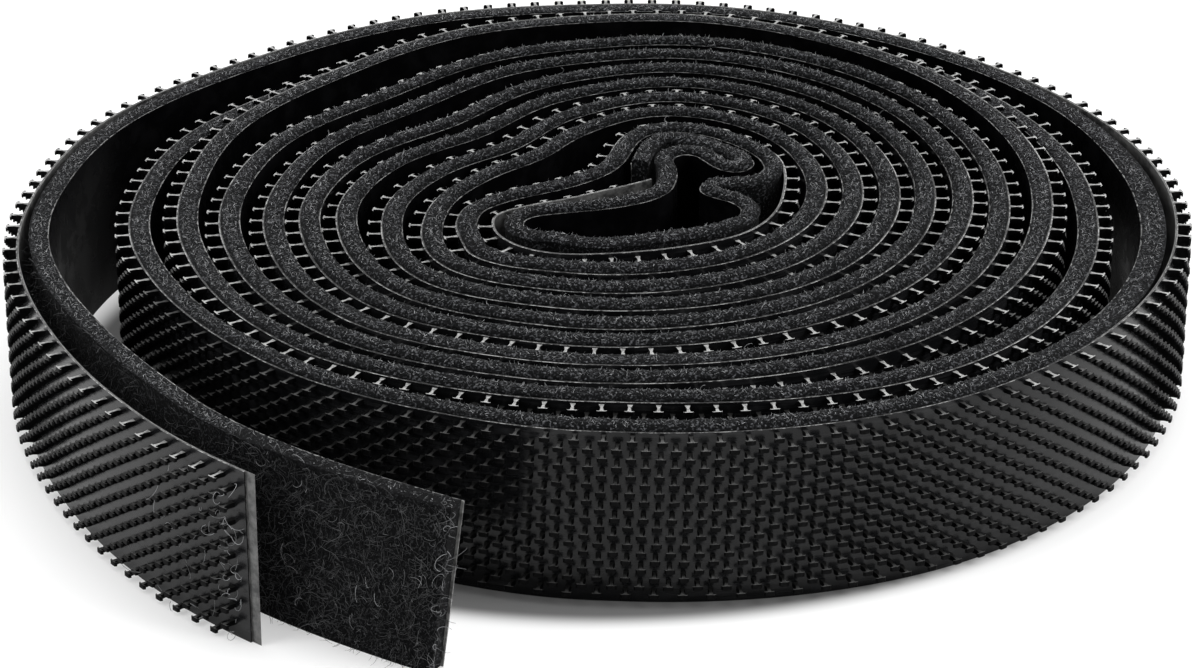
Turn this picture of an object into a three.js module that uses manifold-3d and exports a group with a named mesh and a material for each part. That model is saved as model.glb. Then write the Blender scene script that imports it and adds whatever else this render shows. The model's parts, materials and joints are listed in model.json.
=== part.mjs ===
// Hook and loop tape roll: a moulded hook tape and a knitted loop tape, both self-adhesive
// with release liners, wound together by hand into one loose spiral that stands on its edge.
// Seen from above the tapes run anticlockwise from the folded core out to the two free ends.
// Outside to inside, one turn is: hooks, film, adhesive, liner, pile fabric, adhesive, liner.
import * as THREE from 'three';
import { mergeVertices } from 'three/addons/utils/BufferGeometryUtils.js';
import Module from 'manifold-3d';

const wasm = await Module();
wasm.setup();

// Driving dimensions, in millimetres
const TAPE_WIDTH = 25.4;
const HOOK_FILM = 0.35;
const HOOK_ADHESIVE = 0.15;
const HOOK_LINER = 0.1;
const LOOP_FABRIC = 2.05;
const LOOP_ADHESIVE = 0.15;
const LOOP_LINER = 0.1;
const LAYER_GAP = 0.04;
const TIP_GAP = 0.15;

// One moulded hook: a stem that flares to a wide head, in staggered columns along the tape
const HOOK_HEIGHT = 1.9;
const HOOK_STEM = 0.55;
const HOOK_HEAD = 1.4;
const HOOK_FLARE = 0.75;
const HOOK_WIDTH = 1.2;
const HOOK_ROOT = 0.2;
const COLUMN_PITCH = 1.9;
const ROW_PITCH = 2.54;
const EDGE_MARGIN = 1.35;

// On the outermost wound turn every third hook of every third column is moulded, as a plain flare
const COIL_HOOK_STEP = 3;

// The wound stack and the tilt of the inner turns, which stand proud at the back
const HOOK_STACK = HOOK_FILM + HOOK_ADHESIVE + HOOK_LINER + 2 * LAYER_GAP;
const LOOP_STACK = LOOP_FABRIC + LOOP_ADHESIVE + LOOP_LINER + 2 * LAYER_GAP;
const PITCH = HOOK_HEIGHT + TIP_GAP + HOOK_STACK + LAYER_GAP + LOOP_STACK;
const CORE_LIFT = 3.4;

// How far the hook tape is wound, in turns from the winding's right side, how far the loop tape
// runs on past it, the ends that are free to bend, and the liner left past the hook film's cut
const FIRST_TURN_START = 0.625;
const HOOK_TURNS = 9.668;
const LOOP_RUN_ON = 27.2;
const HOOK_FREE_END = 32;
const LOOP_FREE_END = 28.5;
const LINER_OVERHANG = 1.6;
const BEND_GAP = 0.5;

// Last turns, counted from the hook tape's end: where the lift fades out and the ends flare
const LIFT_FADE = [-2.27, -1.47];
const FLARE_SPAN = 0.1;
const END_FLARE = 5.5;

// First full turn: hook film radius every 30 degrees from the front left, in pitches
const FIRST_TURN = [5.73, 5.42, 5.42, 5.73, 6, 6.13, 6.19, 5.71, 4.3, 3.42, 4.06, 5.44];

// Spare room inside each later turn, in mm, at front left, front, front right, right,
// back right, back, back left and left
const LOOSENESS = [
  [0, 0.6, 0.7, 0.1, 0, 0, 0, 1],
  [0, 0.1, 0.6, 0.2, 0, 0.4, 1.6, 1.8],
  [0, 0.4, 0, 0, 0, 0.4, 0.6, 0.2],
  [0, 0, 0, 0.3, 0, 0.4, 2.8, 0.2],
  [0, 0, 1.7, 0, 0, 0, 1.2, 1.4],
  [0, 0, 0, 1.2, 2.2, 4.6, 5.8, 1.4],
  [0, 0, 3.6, 1.1, 0.2, 0.4, 0, 2],
  [0, 3.4, 2.1, 6.5, 2.5, 2.2, 7.4, 10],
  [14.5],
];

// Gap between the hook tape's back and the pile, as turns from the hook tape's end and mm
const PARTING = [[-0.78, 0], [-0.65, 1.9], [-0.55, 0.5], [-0.42, 0.5], [-0.17, 1], [-0.04, 5.4],
  [0.05, 7]];

// Folded core of the hook tape's film, from its inner end, in pitches from the centre
const HOOK_CORE = [
  [1.06, 0.69], [0.58, 0.39], [-0.38, -0.1], [-1.35, -0.6], [-2.69, -1.16], [-3.35, -1.66],
  [-3.42, -2.29], [-3.2, -3.02], [-2.5, -3.75], [-1.54, -4.12], [-0.38, -4.12], [1.54, -3.79],
  [3.37, -3.04], [4.13, -2.31], [4.62, -1.35], [4.87, -0.1], [4.94, 1.15], [4.79, 2.12],
  [4.23, 3.02], [3.37, 3.81], [2.4, 4.29], [1.44, 4.38], [0.69, 4.08], [0.23, 3.46],
  [-0.02, 2.75], [-0.19, 2.08], [-0.5, 1.46], [-1.06, 0.92], [-1.92, 0.38], [-3.08, -0.19],
  [-4.19, -1.15], [-4.48, -2.5],
];

// Folded core of the loop tape's liner face, from its inner end: a pocket doubled pile to
// pile, the hole's walls, then a finger fold back out to the hook tape
const LOOP_CORE = [
  [0.48, 1.62], [0.56, 2.02], [0.67, 2.5], [0.87, 3.08], [1.15, 3.42], [1.5, 3.58],
  [2.06, 3.52], [2.7, 3.24], [3.36, 2.74], [3.82, 2.23], [4.06, 1.8], [3.96, 1.36],
  [3.65, 1.08], [3.19, 1.15], [2.84, 1.46], [2.6, 1.84], [2.38, 2.16], [2.1, 2.27], [1.8, 2.12],
  [1.7, 1.86], [1.8, 1.45], [1.81, 0.63], [1.6, -0.19], [1.06, -0.77], [0, -1.25],
  [-1.35, -1.56], [-2.32, -1.85], [-2.54, -2.22], [-2.42, -2.6], [-2.08, -2.83],
  [-1.5, -2.92], [-0.96, -3.19], [-0.19, -3.27], [1.15, -2.94], [2.62, -2.47], [3.4, -1.93],
  [3.58, -1.36], [3.32, -0.9], [2.81, -0.58], [2.44, -0.19], [2.5, 0.31], [2.94, 0.58],
  [3.5, 0.58], [3.98, 0.72], [4.31, 1.1],
];

// Facets: the largest bulge left between a chord and the true curve, in mm
const COIL_FACET = 0.85;
const CORE_FACET = 0.2;
const SAMPLES = 96;
const SLOPE_REACH = 6;
const FINE_STEPS = 8;
const TAIL_STEPS = 6;

// Points of a tape this many thicknesses apart along it count as separate when gaps are measured
const GAP_REACH = 7;

const mix = (a, b, f) => a + (b - a) * f;
const ramp = (x, lo, hi) => THREE.MathUtils.smoothstep(x, lo, hi);

// Smooth value of an evenly spaced series at a fractional place
function smoothSeries(valueAt, place) {
  const i = Math.floor(place);
  const f = place - i;
  const [a, b, c, d] = [valueAt(i - 1), valueAt(i), valueAt(i + 1), valueAt(i + 2)];
  return b + 0.5 * f * (c - a + f * (2 * a - 5 * b + 4 * c - d + f * (3 * (b - c) + d - a)));
}

function looseness(turn) {
  const places = LOOSENESS.flat();
  const valueAt = (i) => places[THREE.MathUtils.clamp(i, 0, places.length - 1)];
  const wound = smoothSeries(valueAt, (turn - FIRST_TURN_START - 1) * LOOSENESS[0].length);
  const flare = Math.max(0, 1 + (turn - HOOK_TURNS) / FLARE_SPAN);
  return Math.max(0, wound) + END_FLARE * flare * flare;
}

function parting(turn) {
  const past = turn - HOOK_TURNS;
  const next = PARTING.findIndex(([at]) => at > past);
  if (next === 0) return 0;
  if (next < 0) return PARTING.at(-1)[1];
  const [from, to] = [PARTING[next - 1], PARTING[next]];
  return mix(from[1], to[1], ramp(past, from[0], to[0]));
}

// Film radius along the winding: each turn lies one pitch, and its spare room, outside the last
function windingRadii() {
  const radii = [];
  const firstAt = (i) => {
    const lap = Math.floor(i / FIRST_TURN.length);
    return FIRST_TURN[i - lap * FIRST_TURN.length] + lap;
  };
  let past = 0;
  for (let k = 0; past < LOOP_RUN_ON + LOOP_FREE_END; k++) {
    if (FIRST_TURN_START + k / SAMPLES > HOOK_TURNS) past += (2 * Math.PI * radii[k - 1]) / SAMPLES;
    if (k < SAMPLES) {
      radii.push(PITCH * smoothSeries(firstAt, (k / SAMPLES) * FIRST_TURN.length));
      continue;
    }
    const inner = radii[k - SAMPLES];
    const reach = Math.min(SLOPE_REACH, k - SAMPLES);
    const rise = radii[k - SAMPLES + SLOPE_REACH] - radii[k - SAMPLES - reach];
    const slope = (rise / (SLOPE_REACH + reach)) * (SAMPLES / (2 * Math.PI));
    const lean = Math.hypot(1, slope / inner);
    radii.push(inner + lean * (PITCH + looseness(FIRST_TURN_START + k / SAMPLES)));
  }
  return radii;
}

const RADII = windingRadii();

function windingPoint(turn) {
  const valueAt = (i) => RADII[THREE.MathUtils.clamp(i, 0, RADII.length - 1)];
  const radius = smoothSeries(valueAt, (turn - FIRST_TURN_START) * SAMPLES);
  const angle = 2 * Math.PI * turn;
  return { x: radius * Math.cos(angle), y: radius * Math.sin(angle), turn };
}

function coreCurve(places) {
  const points = places.map(([u, v]) => new THREE.Vector3(u * PITCH, v * PITCH, 0));
  return new THREE.CatmullRomCurve3(points, false, 'centripetal');
}

// Distance of a point from the chord between two others
function chordBulge(p, a, b) {
  const length = Math.hypot(b.x - a.x, b.y - a.y);
  return Math.abs((b.x - a.x) * (p.y - a.y) - (b.y - a.y) * (p.x - a.x)) / length;
}

// Keeps the fewest points whose chords stay within the bulge of the fine route
function thin(fine, bulge) {
  const kept = [fine[0]];
  let start = 0;
  for (let i = 2; i < fine.length; i++) {
    const strays = fine.slice(start + 1, i).some((p) => chordBulge(p, fine[start], fine[i]) > bulge);
    if (strays) {
      start = i - 1;
      kept.push(fine[start]);
    }
  }
  kept.push(fine.at(-1));
  return kept;
}

// Gives each point of a route its outward mitre, so that offset layers stay parallel
function mitred(route) {
  const headings = route.slice(1).map((p, i) => Math.atan2(p.y - route[i].y, p.x - route[i].x));
  return route.map((p, i) => {
    const from = headings[Math.max(0, i - 1)];
    const to = headings[Math.min(i, headings.length - 1)];
    const half = Math.atan2(Math.sin(to - from), Math.cos(to - from)) / 2;
    const reach = 1 / Math.cos(half);
    return { ...p, mx: Math.sin(from + half) * reach, my: -Math.cos(from + half) * reach };
  });
}

const offset = (route, distance) =>
  route.map((p) => ({ ...p, x: p.x + p.mx * distance(p), y: p.y + p.my * distance(p) }));

// How far the inner turns ride up: nothing at the front, most at the back, none on the last turns
const FRONT = 0.75;
const COIL_FRONT = windingPoint(Math.floor(HOOK_TURNS + LIFT_FADE[0]) + FRONT).y;

function lift(p) {
  const share = 1 - ramp(p.turn - HOOK_TURNS, LIFT_FADE[0], LIFT_FADE[1]);
  return (share * CORE_LIFT * Math.max(0, p.y - COIL_FRONT)) / (-2 * COIL_FRONT);
}

// The share of a turn that a length takes up at a place on the winding
function turnsFor(length, turn) {
  const { x, y } = windingPoint(turn);
  return length / (2 * Math.PI * Math.hypot(x, y));
}

// Where the tapes end and where their free ends bend
const LOOP_TURNS = HOOK_TURNS + turnsFor(LOOP_RUN_ON, HOOK_TURNS);
const HOOK_BEND = HOOK_TURNS - turnsFor(HOOK_FREE_END, HOOK_TURNS);
const LOOP_BEND = LOOP_TURNS - turnsFor(LOOP_FREE_END, LOOP_TURNS);

function windingRoute(from, to, steps) {
  return Array.from({ length: steps + 1 }, (_, i) => windingPoint(mix(from, to, i / steps)));
}

// A short run of the winding whose ends are square to the curve there
function windingRun(from, to, steps) {
  const step = (to - from) / steps;
  return mitred(windingRoute(from - step, to + step, steps + 2)).slice(1, -1);
}

// The hook film's outer face from its inner end to where the free end bends
function hookCoilRoute() {
  const curve = coreCurve(HOOK_CORE).getSpacedPoints(FINE_STEPS * HOOK_CORE.length);
  const end = HOOK_BEND - turnsFor(BEND_GAP, HOOK_BEND);
  const steps = Math.ceil((end - FIRST_TURN_START) * SAMPLES);
  const coil = windingRoute(FIRST_TURN_START, end, steps);
  const core = [...curve.map(({ x, y }) => ({ x, y, turn: 0 })), ...coil.slice(0, SAMPLES / 2)];
  return mitred([...thin(core, CORE_FACET), ...thin(coil.slice(SAMPLES / 2 - 1), COIL_FACET).slice(1)]);
}

// The loop liner's inner face: the loop tape lies close inside the hook tape up to the core,
// where it folds by itself
const loopDepth = (p) => -(HOOK_STACK + LAYER_GAP + parting(p.turn) + LOOP_STACK);

function loopCoilRoute(hookCoil) {
  const curve = coreCurve(LOOP_CORE).getSpacedPoints(FINE_STEPS * LOOP_CORE.length);
  const core = thin(curve.map(({ x, y }) => ({ x, y, turn: 0 })), CORE_FACET);
  const last = core.at(-1);
  const away = hookCoil.map((p) => Math.hypot(p.x - last.x, p.y - last.y));
  const join = away.indexOf(Math.min(...away));
  const end = LOOP_BEND - turnsFor(BEND_GAP, LOOP_BEND);
  const past = windingRun(HOOK_BEND, end, TAIL_STEPS);
  const beside = offset([...hookCoil.slice(join, -1), ...past], loopDepth);
  return mitred([...core, ...beside]);
}

// A vertical strip of tape between two distances from its route
function stripGeometry(route, inner, outer) {
  const corners = [];
  for (const p of route) {
    const low = lift(p);
    const high = low + TAPE_WIDTH;
    for (const [d, z] of [[inner, low], [outer, low], [outer, high], [inner, high]]) {
      corners.push(p.x + p.mx * d, p.y + p.my * d, z);
    }
  }
  const last = 4 * (route.length - 1);
  const faces = [0, 1, 2, 0, 2, 3, last, last + 2, last + 1, last, last + 3, last + 2];
  for (let ring = 0; ring < last; ring += 4) {
    for (let side = 0; side < 4; side++) {
      const [a, b] = [ring + side, ring + ((side + 1) % 4)];
      faces.push(a, a + 4, b + 4, a, b + 4, b);
    }
  }
  const geometry = new THREE.BufferGeometry();
  geometry.setAttribute('position', new THREE.Float32BufferAttribute(corners, 3));
  geometry.setIndex(faces);
  return geometry;
}

function toSolid(geometry) {
  const bare = geometry.clone();
  bare.deleteAttribute('normal');
  bare.deleteAttribute('uv');
  const merged = mergeVertices(bare, 1e-5);
  const vertProperties = new Float32Array(merged.attributes.position.array);
  const triVerts = new Uint32Array(merged.index.array);
  return new wasm.Manifold(new wasm.Mesh({ numProp: 3, vertProperties, triVerts }));
}

function toGeometry(solid) {
  const mesh = solid.getMesh();
  const geometry = new THREE.BufferGeometry();
  geometry.setAttribute('position', new THREE.BufferAttribute(mesh.vertProperties, 3));
  geometry.setIndex(new THREE.BufferAttribute(mesh.triVerts, 1));
  return geometry;
}

// One hook seen along the tape's width, extruded by its width: a stem with a flared head, or a plain flare
function hookGeometry(stemmed) {
  const [stem, head] = [HOOK_STEM / 2, HOOK_HEAD / 2];
  const neck = HOOK_HEIGHT - HOOK_FLARE;
  const shape = new THREE.Shape();
  shape.moveTo(-stem, -HOOK_ROOT);
  shape.lineTo(stem, -HOOK_ROOT);
  if (stemmed) shape.lineTo(stem, neck);
  shape.lineTo(head, HOOK_HEIGHT);
  shape.lineTo(-head, HOOK_HEIGHT);
  if (stemmed) shape.lineTo(-stem, neck);
  return new THREE.ExtrudeGeometry(shape, { depth: HOOK_WIDTH, bevelEnabled: false });
}

// The place and heading at a distance along a route
function placeAlong(route, distance) {
  let left = distance;
  for (let i = 1; i < route.length; i++) {
    const [a, b] = [route[i - 1], route[i]];
    const length = Math.hypot(b.x - a.x, b.y - a.y);
    if (left <= length || i === route.length - 1) {
      const f = left / length;
      const along = new THREE.Vector3((b.x - a.x) / length, (b.y - a.y) / length, 0);
      return { at: new THREE.Vector3(mix(a.x, b.x, f), mix(a.y, b.y, f), 0), along };
    }
    left -= length;
  }
}

const routeLength = (route) =>
  route.slice(1).reduce((sum, p, i) => sum + Math.hypot(p.x - route[i].x, p.y - route[i].y), 0);

// Staggered columns of hooks, numbered both ways from the bend, every so many columns and rows: how
// far past the bend each hook stands, and its upper side's height
function hookPlaces(length, step) {
  const places = [];
  const columns = Math.floor(length / COLUMN_PITCH / Math.abs(step));
  for (let i = 0; i < columns; i++) {
    const column = step > 0 ? i * step : (i + 1) * step;
    const odd = Math.abs(column) % 2;
    const skipped = odd * Math.floor(Math.abs(step) / 2);
    let top = TAPE_WIDTH - EDGE_MARGIN - (odd / 2 + skipped) * ROW_PITCH;
    for (; top - HOOK_WIDTH > EDGE_MARGIN / 2; top -= Math.abs(step) * ROW_PITCH) {
      places.push({ past: (column + 0.5) * COLUMN_PITCH, top });
    }
  }
  return places;
}

// Film with hooks moulded on, where the bend is at a distance along the film's route
function hookedFilm(route, bend, hook, places) {
  let film = toSolid(stripGeometry(route, -HOOK_FILM, 0));
  for (const { past, top } of places) {
    const { at, along } = placeAlong(route, bend + past);
    const down = new THREE.Vector3(0, 0, -1);
    const frame = new THREE.Matrix4().makeBasis(along, new THREE.Vector3(along.y, -along.x, 0), down);
    frame.setPosition(at.x, at.y, top);
    film = film.add(toSolid(hook.clone().applyMatrix4(frame)));
  }
  return toGeometry(film);
}

// The least gap that a wound layer leaves to itself, measured between points along its middle
function leastGap(route, inner, outer) {
  const thickness = outer - inner;
  const points = [];
  for (let i = 1; i < route.length; i++) {
    const middle = (p) => [p.x + p.mx * (inner + outer) / 2, p.y + p.my * (inner + outer) / 2];
    const [a, b] = [middle(route[i - 1]), middle(route[i])];
    const pieces = Math.ceil(Math.hypot(b[0] - a[0], b[1] - a[1]));
    for (let k = 0; k < pieces; k++) points.push([mix(a[0], b[0], k / pieces), mix(a[1], b[1], k / pieces)]);
  }
  let least = Infinity;
  const apart = Math.ceil(GAP_REACH * thickness);
  points.forEach((p, i) => {
    for (let k = i + apart; k < points.length; k++) {
      least = Math.min(least, Math.hypot(p[0] - points[k][0], p[1] - points[k][1]));
    }
  });
  return least - thickness;
}

const finish = (color, roughness) => new THREE.MeshStandardMaterial({ color, roughness, metalness: 0 });
const HOOK_FINISH = finish(0x2a2b2d, 0.5);
const FABRIC_FINISH = finish(0x34373b, 0.95);
const ADHESIVE_FINISH = finish(0x9a9b98, 0.4);
const LINER_FINISH = finish(0x161618, 0.25);
const FILM_LINER_FINISH = finish(0xb9bab8, 0.35);

function node(name, geometry, material) {
  const mesh = new THREE.Mesh(geometry, material);
  mesh.name = name;
  return mesh;
}

// Distances of the layers from each tape's route: the hook film's outer face, the loop liner's inner face
const HOOK_ADHESIVE_FACE = -HOOK_FILM - LAYER_GAP;
const HOOK_LINER_FACE = HOOK_ADHESIVE_FACE - HOOK_ADHESIVE - LAYER_GAP;
const LOOP_ADHESIVE_FACE = LOOP_LINER + LAYER_GAP;
const LOOP_FABRIC_FACE = LOOP_ADHESIVE_FACE + LOOP_ADHESIVE + LAYER_GAP;

function hookTape(route, linerRoute, place, film) {
  const adhesive = stripGeometry(route, HOOK_ADHESIVE_FACE - HOOK_ADHESIVE, HOOK_ADHESIVE_FACE);
  const liner = stripGeometry(linerRoute, HOOK_LINER_FACE - HOOK_LINER, HOOK_LINER_FACE);
  return [
    node(`hook_tape_${place}`, film, HOOK_FINISH),
    node(`hook_adhesive_${place}`, adhesive, ADHESIVE_FINISH),
    node(`hook_liner_${place}`, liner, FILM_LINER_FINISH),
  ];
}

function loopTape(route, place) {
  const fabric = stripGeometry(route, LOOP_FABRIC_FACE, LOOP_STACK);
  const adhesive = stripGeometry(route, LOOP_ADHESIVE_FACE, LOOP_ADHESIVE_FACE + LOOP_ADHESIVE);
  const liner = stripGeometry(route, 0, LOOP_LINER);
  return [
    node(`loop_fabric_${place}`, fabric, FABRIC_FINISH),
    node(`loop_adhesive_${place}`, adhesive, ADHESIVE_FINISH),
    node(`loop_liner_${place}`, liner, LINER_FINISH),
  ];
}

const hookCoil = hookCoilRoute();
const hookTail = windingRun(HOOK_BEND, HOOK_TURNS, TAIL_STEPS);
const hookLinerTail = windingRun(HOOK_BEND, HOOK_TURNS + turnsFor(LINER_OVERHANG, HOOK_TURNS), TAIL_STEPS);
const loopCoil = loopCoilRoute(hookCoil);
const loopTail = mitred(offset(windingRun(LOOP_BEND, LOOP_TURNS, TAIL_STEPS), loopDepth));

// The free end has all its hooks, and the outermost turn behind it some of them
const outerTurn = routeLength(hookCoil.filter((p) => p.turn > HOOK_TURNS - 1));
const coilHooks = hookPlaces(outerTurn, -COIL_HOOK_STEP);
const coilFilm = hookedFilm(hookCoil, routeLength(hookCoil), hookGeometry(false), coilHooks);
const tailFilm = hookedFilm(hookTail, 0, hookGeometry(true), hookPlaces(routeLength(hookTail), 1));

const roll = new THREE.Group();
roll.add(...hookTape(hookCoil, hookCoil, 'coil', coilFilm));
roll.add(...hookTape(hookTail, hookLinerTail, 'end', tailFilm));
roll.add(...loopTape(loopCoil, 'coil'));
roll.add(...loopTape(loopTail, 'end'));

// The origin is under the middle of the whole roll, on the surface that it stands on
const box = new THREE.Box3().setFromObject(roll, true);
const middle = box.getCenter(new THREE.Vector3());
roll.position.set(-middle.x, -middle.y, -box.min.z);

const hookGap = leastGap(hookCoil, -HOOK_FILM, 0);
const loopGap = leastGap(loopCoil, 0, LOOP_STACK);
console.log(`least gap of the hook tape to itself ${hookGap.toFixed(2)} mm`);
console.log(`least gap of the loop tape to itself ${loopGap.toFixed(2)} mm`);

export default roll;
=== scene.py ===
"""Dressed roll of hook tape and loop tape, wound together by hand and standing on its edge.

The winding is worked out again from the turns and core folds of the CAD solids, finely enough to be
smooth. Every layer of both tapes, each moulded hook and the napped pile are laid along it.
"""

import json
import logging
import math
from contextlib import contextmanager
from dataclasses import dataclass, field, replace
from enum import Enum
from typing import Any, Callable, Iterator, Sequence

import bmesh
import bpy
import numpy as np
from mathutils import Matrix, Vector


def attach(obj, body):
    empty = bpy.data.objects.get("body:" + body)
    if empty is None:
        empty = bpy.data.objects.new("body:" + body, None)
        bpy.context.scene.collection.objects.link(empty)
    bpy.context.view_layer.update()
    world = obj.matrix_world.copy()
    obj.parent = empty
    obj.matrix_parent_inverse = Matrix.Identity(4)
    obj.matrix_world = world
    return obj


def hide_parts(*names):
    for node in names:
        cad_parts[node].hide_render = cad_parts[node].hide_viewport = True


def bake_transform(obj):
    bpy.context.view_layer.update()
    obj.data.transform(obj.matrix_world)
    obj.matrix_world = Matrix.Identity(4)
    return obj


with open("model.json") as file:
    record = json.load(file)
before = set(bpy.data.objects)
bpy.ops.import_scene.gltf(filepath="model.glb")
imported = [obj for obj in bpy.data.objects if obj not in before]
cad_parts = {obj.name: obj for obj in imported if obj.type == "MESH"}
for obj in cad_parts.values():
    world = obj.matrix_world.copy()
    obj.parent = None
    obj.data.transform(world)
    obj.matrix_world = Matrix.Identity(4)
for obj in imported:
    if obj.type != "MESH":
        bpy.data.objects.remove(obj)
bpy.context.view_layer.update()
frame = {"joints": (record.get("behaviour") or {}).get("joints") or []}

log = logging.getLogger("tape_roll")

MM = 0.001
WHOLE_TURN = 2 * math.pi
GOLDEN_ANGLE = 2.399963
BAKE_MAP = "OFBake"
# The part of a face's normal that has to point one way for the face to count as looking that way
MOSTLY = 0.7

Array = np.ndarray
Span = tuple[float, float]
Triple = tuple[float, float, float]
Table = tuple[tuple[float, float], ...]


class Body(Enum):
    """The CAD bodies that the pieces ride on."""

    HOOK_COIL = "hook_coil"
    HOOK_END = "hook_end"
    LOOP_COIL = "loop_coil"
    LOOP_END = "loop_end"


class Slot(Enum):
    """The record's material slots."""

    HOOK_FILM = "hook_film"
    ADHESIVE = "adhesive"
    HOOK_LINER = "hook_liner"
    LOOP_FABRIC = "loop_fabric"
    LOOP_LINER = "loop_liner"


class Stretch(Enum):
    """The two stretches of a tape."""

    COIL = "coil"
    END = "end"


# Shader maths


class Wire:
    """A socket's value in a node tree, on which arithmetic adds Math nodes."""

    def __init__(self, shader: "Shader", socket: bpy.types.NodeSocket | None) -> None:
        """Keeps the tree and the socket that carries the value."""
        self.shader = shader
        self.socket = socket

    def _maths(self, operation: str, first: Any, second: Any) -> "Wire":
        """The result of a Math node on two numbers or wires."""
        return self.shader.node("Math", {"operation": operation}, {0: first, 1: second})

    def __add__(self, other: Any) -> "Wire":
        """Sum with a number or a wire."""
        return self._maths("ADD", self, other)

    def __rsub__(self, other: Any) -> "Wire":
        """A number less this value."""
        return self._maths("SUBTRACT", other, self)

    def __mul__(self, other: Any) -> "Wire":
        """Product with a number or a wire."""
        return self._maths("MULTIPLY", self, other)

    def __truediv__(self, other: Any) -> "Wire":
        """Quotient by a number or a wire."""
        return self._maths("DIVIDE", self, other)

    __radd__ = __add__
    __rmul__ = __mul__

    def most(self, other: Any) -> "Wire":
        """The larger of this value and another."""
        return self._maths("MAXIMUM", self, other)

    def step(self, low: float, high: float) -> "Wire":
        """A smooth step from 0 at low to 1 at high."""
        inputs = {"Value": self, "From Min": low, "From Max": high}
        return self.shader.node("MapRange", {"interpolation_type": "SMOOTHSTEP"}, inputs)


class Shader:
    """The node tree of one material or of the world."""

    def __init__(self, owner: bpy.types.ID) -> None:
        """Empties the owner's node tree.

        Args:
            owner: A material or a world.
        """
        owner.use_nodes = True
        self.tree = owner.node_tree
        self.tree.nodes.clear()

    def node(
        self,
        kind: str,
        settings: dict[str, Any] | None = None,
        inputs: dict[Any, Any] | None = None,
        output: str | int = 0,
    ) -> Wire:
        """Adds a node of any kind.

        Args:
            kind: The node's type name, without its first words.
            settings: Its own settings, set first.
            inputs: Values or wires by the socket's name or number.
            output: The output that is wanted.

        Returns:
            The wanted output.
        """
        made = self.tree.nodes.new(f"ShaderNode{kind}")
        for name, value in (settings or {}).items():
            setattr(made, name, value)
        for name, value in (inputs or {}).items():
            if isinstance(value, Wire):
                self.tree.links.new(value.socket, made.inputs[name])
            else:
                made.inputs[name].default_value = value
        return Wire(self, made.outputs[output] if len(made.outputs) else None)

    def blend(self, share: Wire, low: Triple, high: Triple) -> Wire:
        """Mixes two colours.

        Args:
            share: The second colour's share.
            low: The first colour.
            high: The second colour.

        Returns:
            The mixed colour.
        """
        settings = {"data_type": "RGBA", "clamp_factor": True}
        first_colour, second_colour, mixed_colour = 6, 7, 2
        inputs = {0: share, first_colour: (*low, 1.0), second_colour: (*high, 1.0)}
        return self.node("Mix", settings, inputs, mixed_colour)

    def attribute(self, name: str) -> Wire:
        """A number that the mesh holds at its points."""
        return self.node("Attribute", {"attribute_name": name}, output="Fac")

    def place(self) -> Wire:
        """The place in the roll's frame."""
        return self.node("TexCoord", output="Object")

    def height(self) -> Wire:
        """The height over the surface that the roll stands on."""
        return self.node("SeparateXYZ", inputs={0: self.place()}, output="Z")

    def vector(self, x: Wire, y: Wire) -> Wire:
        """Two values as one vector."""
        return self.node("CombineXYZ", inputs={0: x, 1: y})

    def noise(self, at: Wire, scale: float, detail: float = 2.0, rough: float = 0.5) -> Wire:
        """Smooth noise about one half.

        Args:
            at: Where it is read.
            scale: Waves in a metre, or in a unit of at.
            detail: Finer octaves.
            rough: Weight of the finer octaves.

        Returns:
            The noise.
        """
        inputs = {"Vector": at, "Scale": scale, "Detail": detail, "Roughness": rough}
        return self.node("TexNoise", inputs=inputs)

    def bump(self, height: Wire, depth: float, strength: float) -> Wire:
        """A normal that is bumped by a height of 0 to 1, where 1 is the depth in metres."""
        return self.node("Bump", inputs={"Height": height, "Distance": depth, "Strength": strength})


# Finishes


@dataclass(frozen=True)
class Finish:
    """A finish, made into a material once."""

    name: str

    def paint(self, shader: Shader) -> None:
        """Builds the finish's nodes."""
        raise NotImplementedError

    def material(self) -> bpy.types.Material:
        """The finish's material.

        Returns:
            The material, new or made before.
        """
        made = bpy.data.materials.get(self.name)
        if made is None:
            made = bpy.data.materials.new(self.name)
            self.paint(Shader(made))
        return made


@dataclass(frozen=True)
class Surface(Finish):
    """A finish that a piece of the roll wears.

    Attributes:
        dark: Its darker colour.
        pale: Its paler colour.
        rough: Its least roughness, and what its grain adds.
        shine: Its specular level.
    """

    dark: Triple
    pale: Triple
    rough: Span
    shine: float = 0.5

    def coat(self, shader: Shader, share: Wire, grain: Wire, **inputs: Any) -> None:
        """Ends the tree in a Principled shader.

        Args:
            shader: The finish's tree.
            share: The paler colour's share.
            grain: What roughens the surface.
            inputs: Values or wires of other sockets, with _ for a space.
        """
        least, more = self.rough
        named = {name.replace("_", " "): value for name, value in inputs.items()}
        named["Base Color"] = shader.blend(share, self.dark, self.pale)
        named["Roughness"] = least + more * grain
        named["Specular IOR Level"] = self.shine
        principled = shader.node("BsdfPrincipled", inputs=named)
        shader.node("OutputMaterial", inputs={"Surface": principled})


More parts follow.
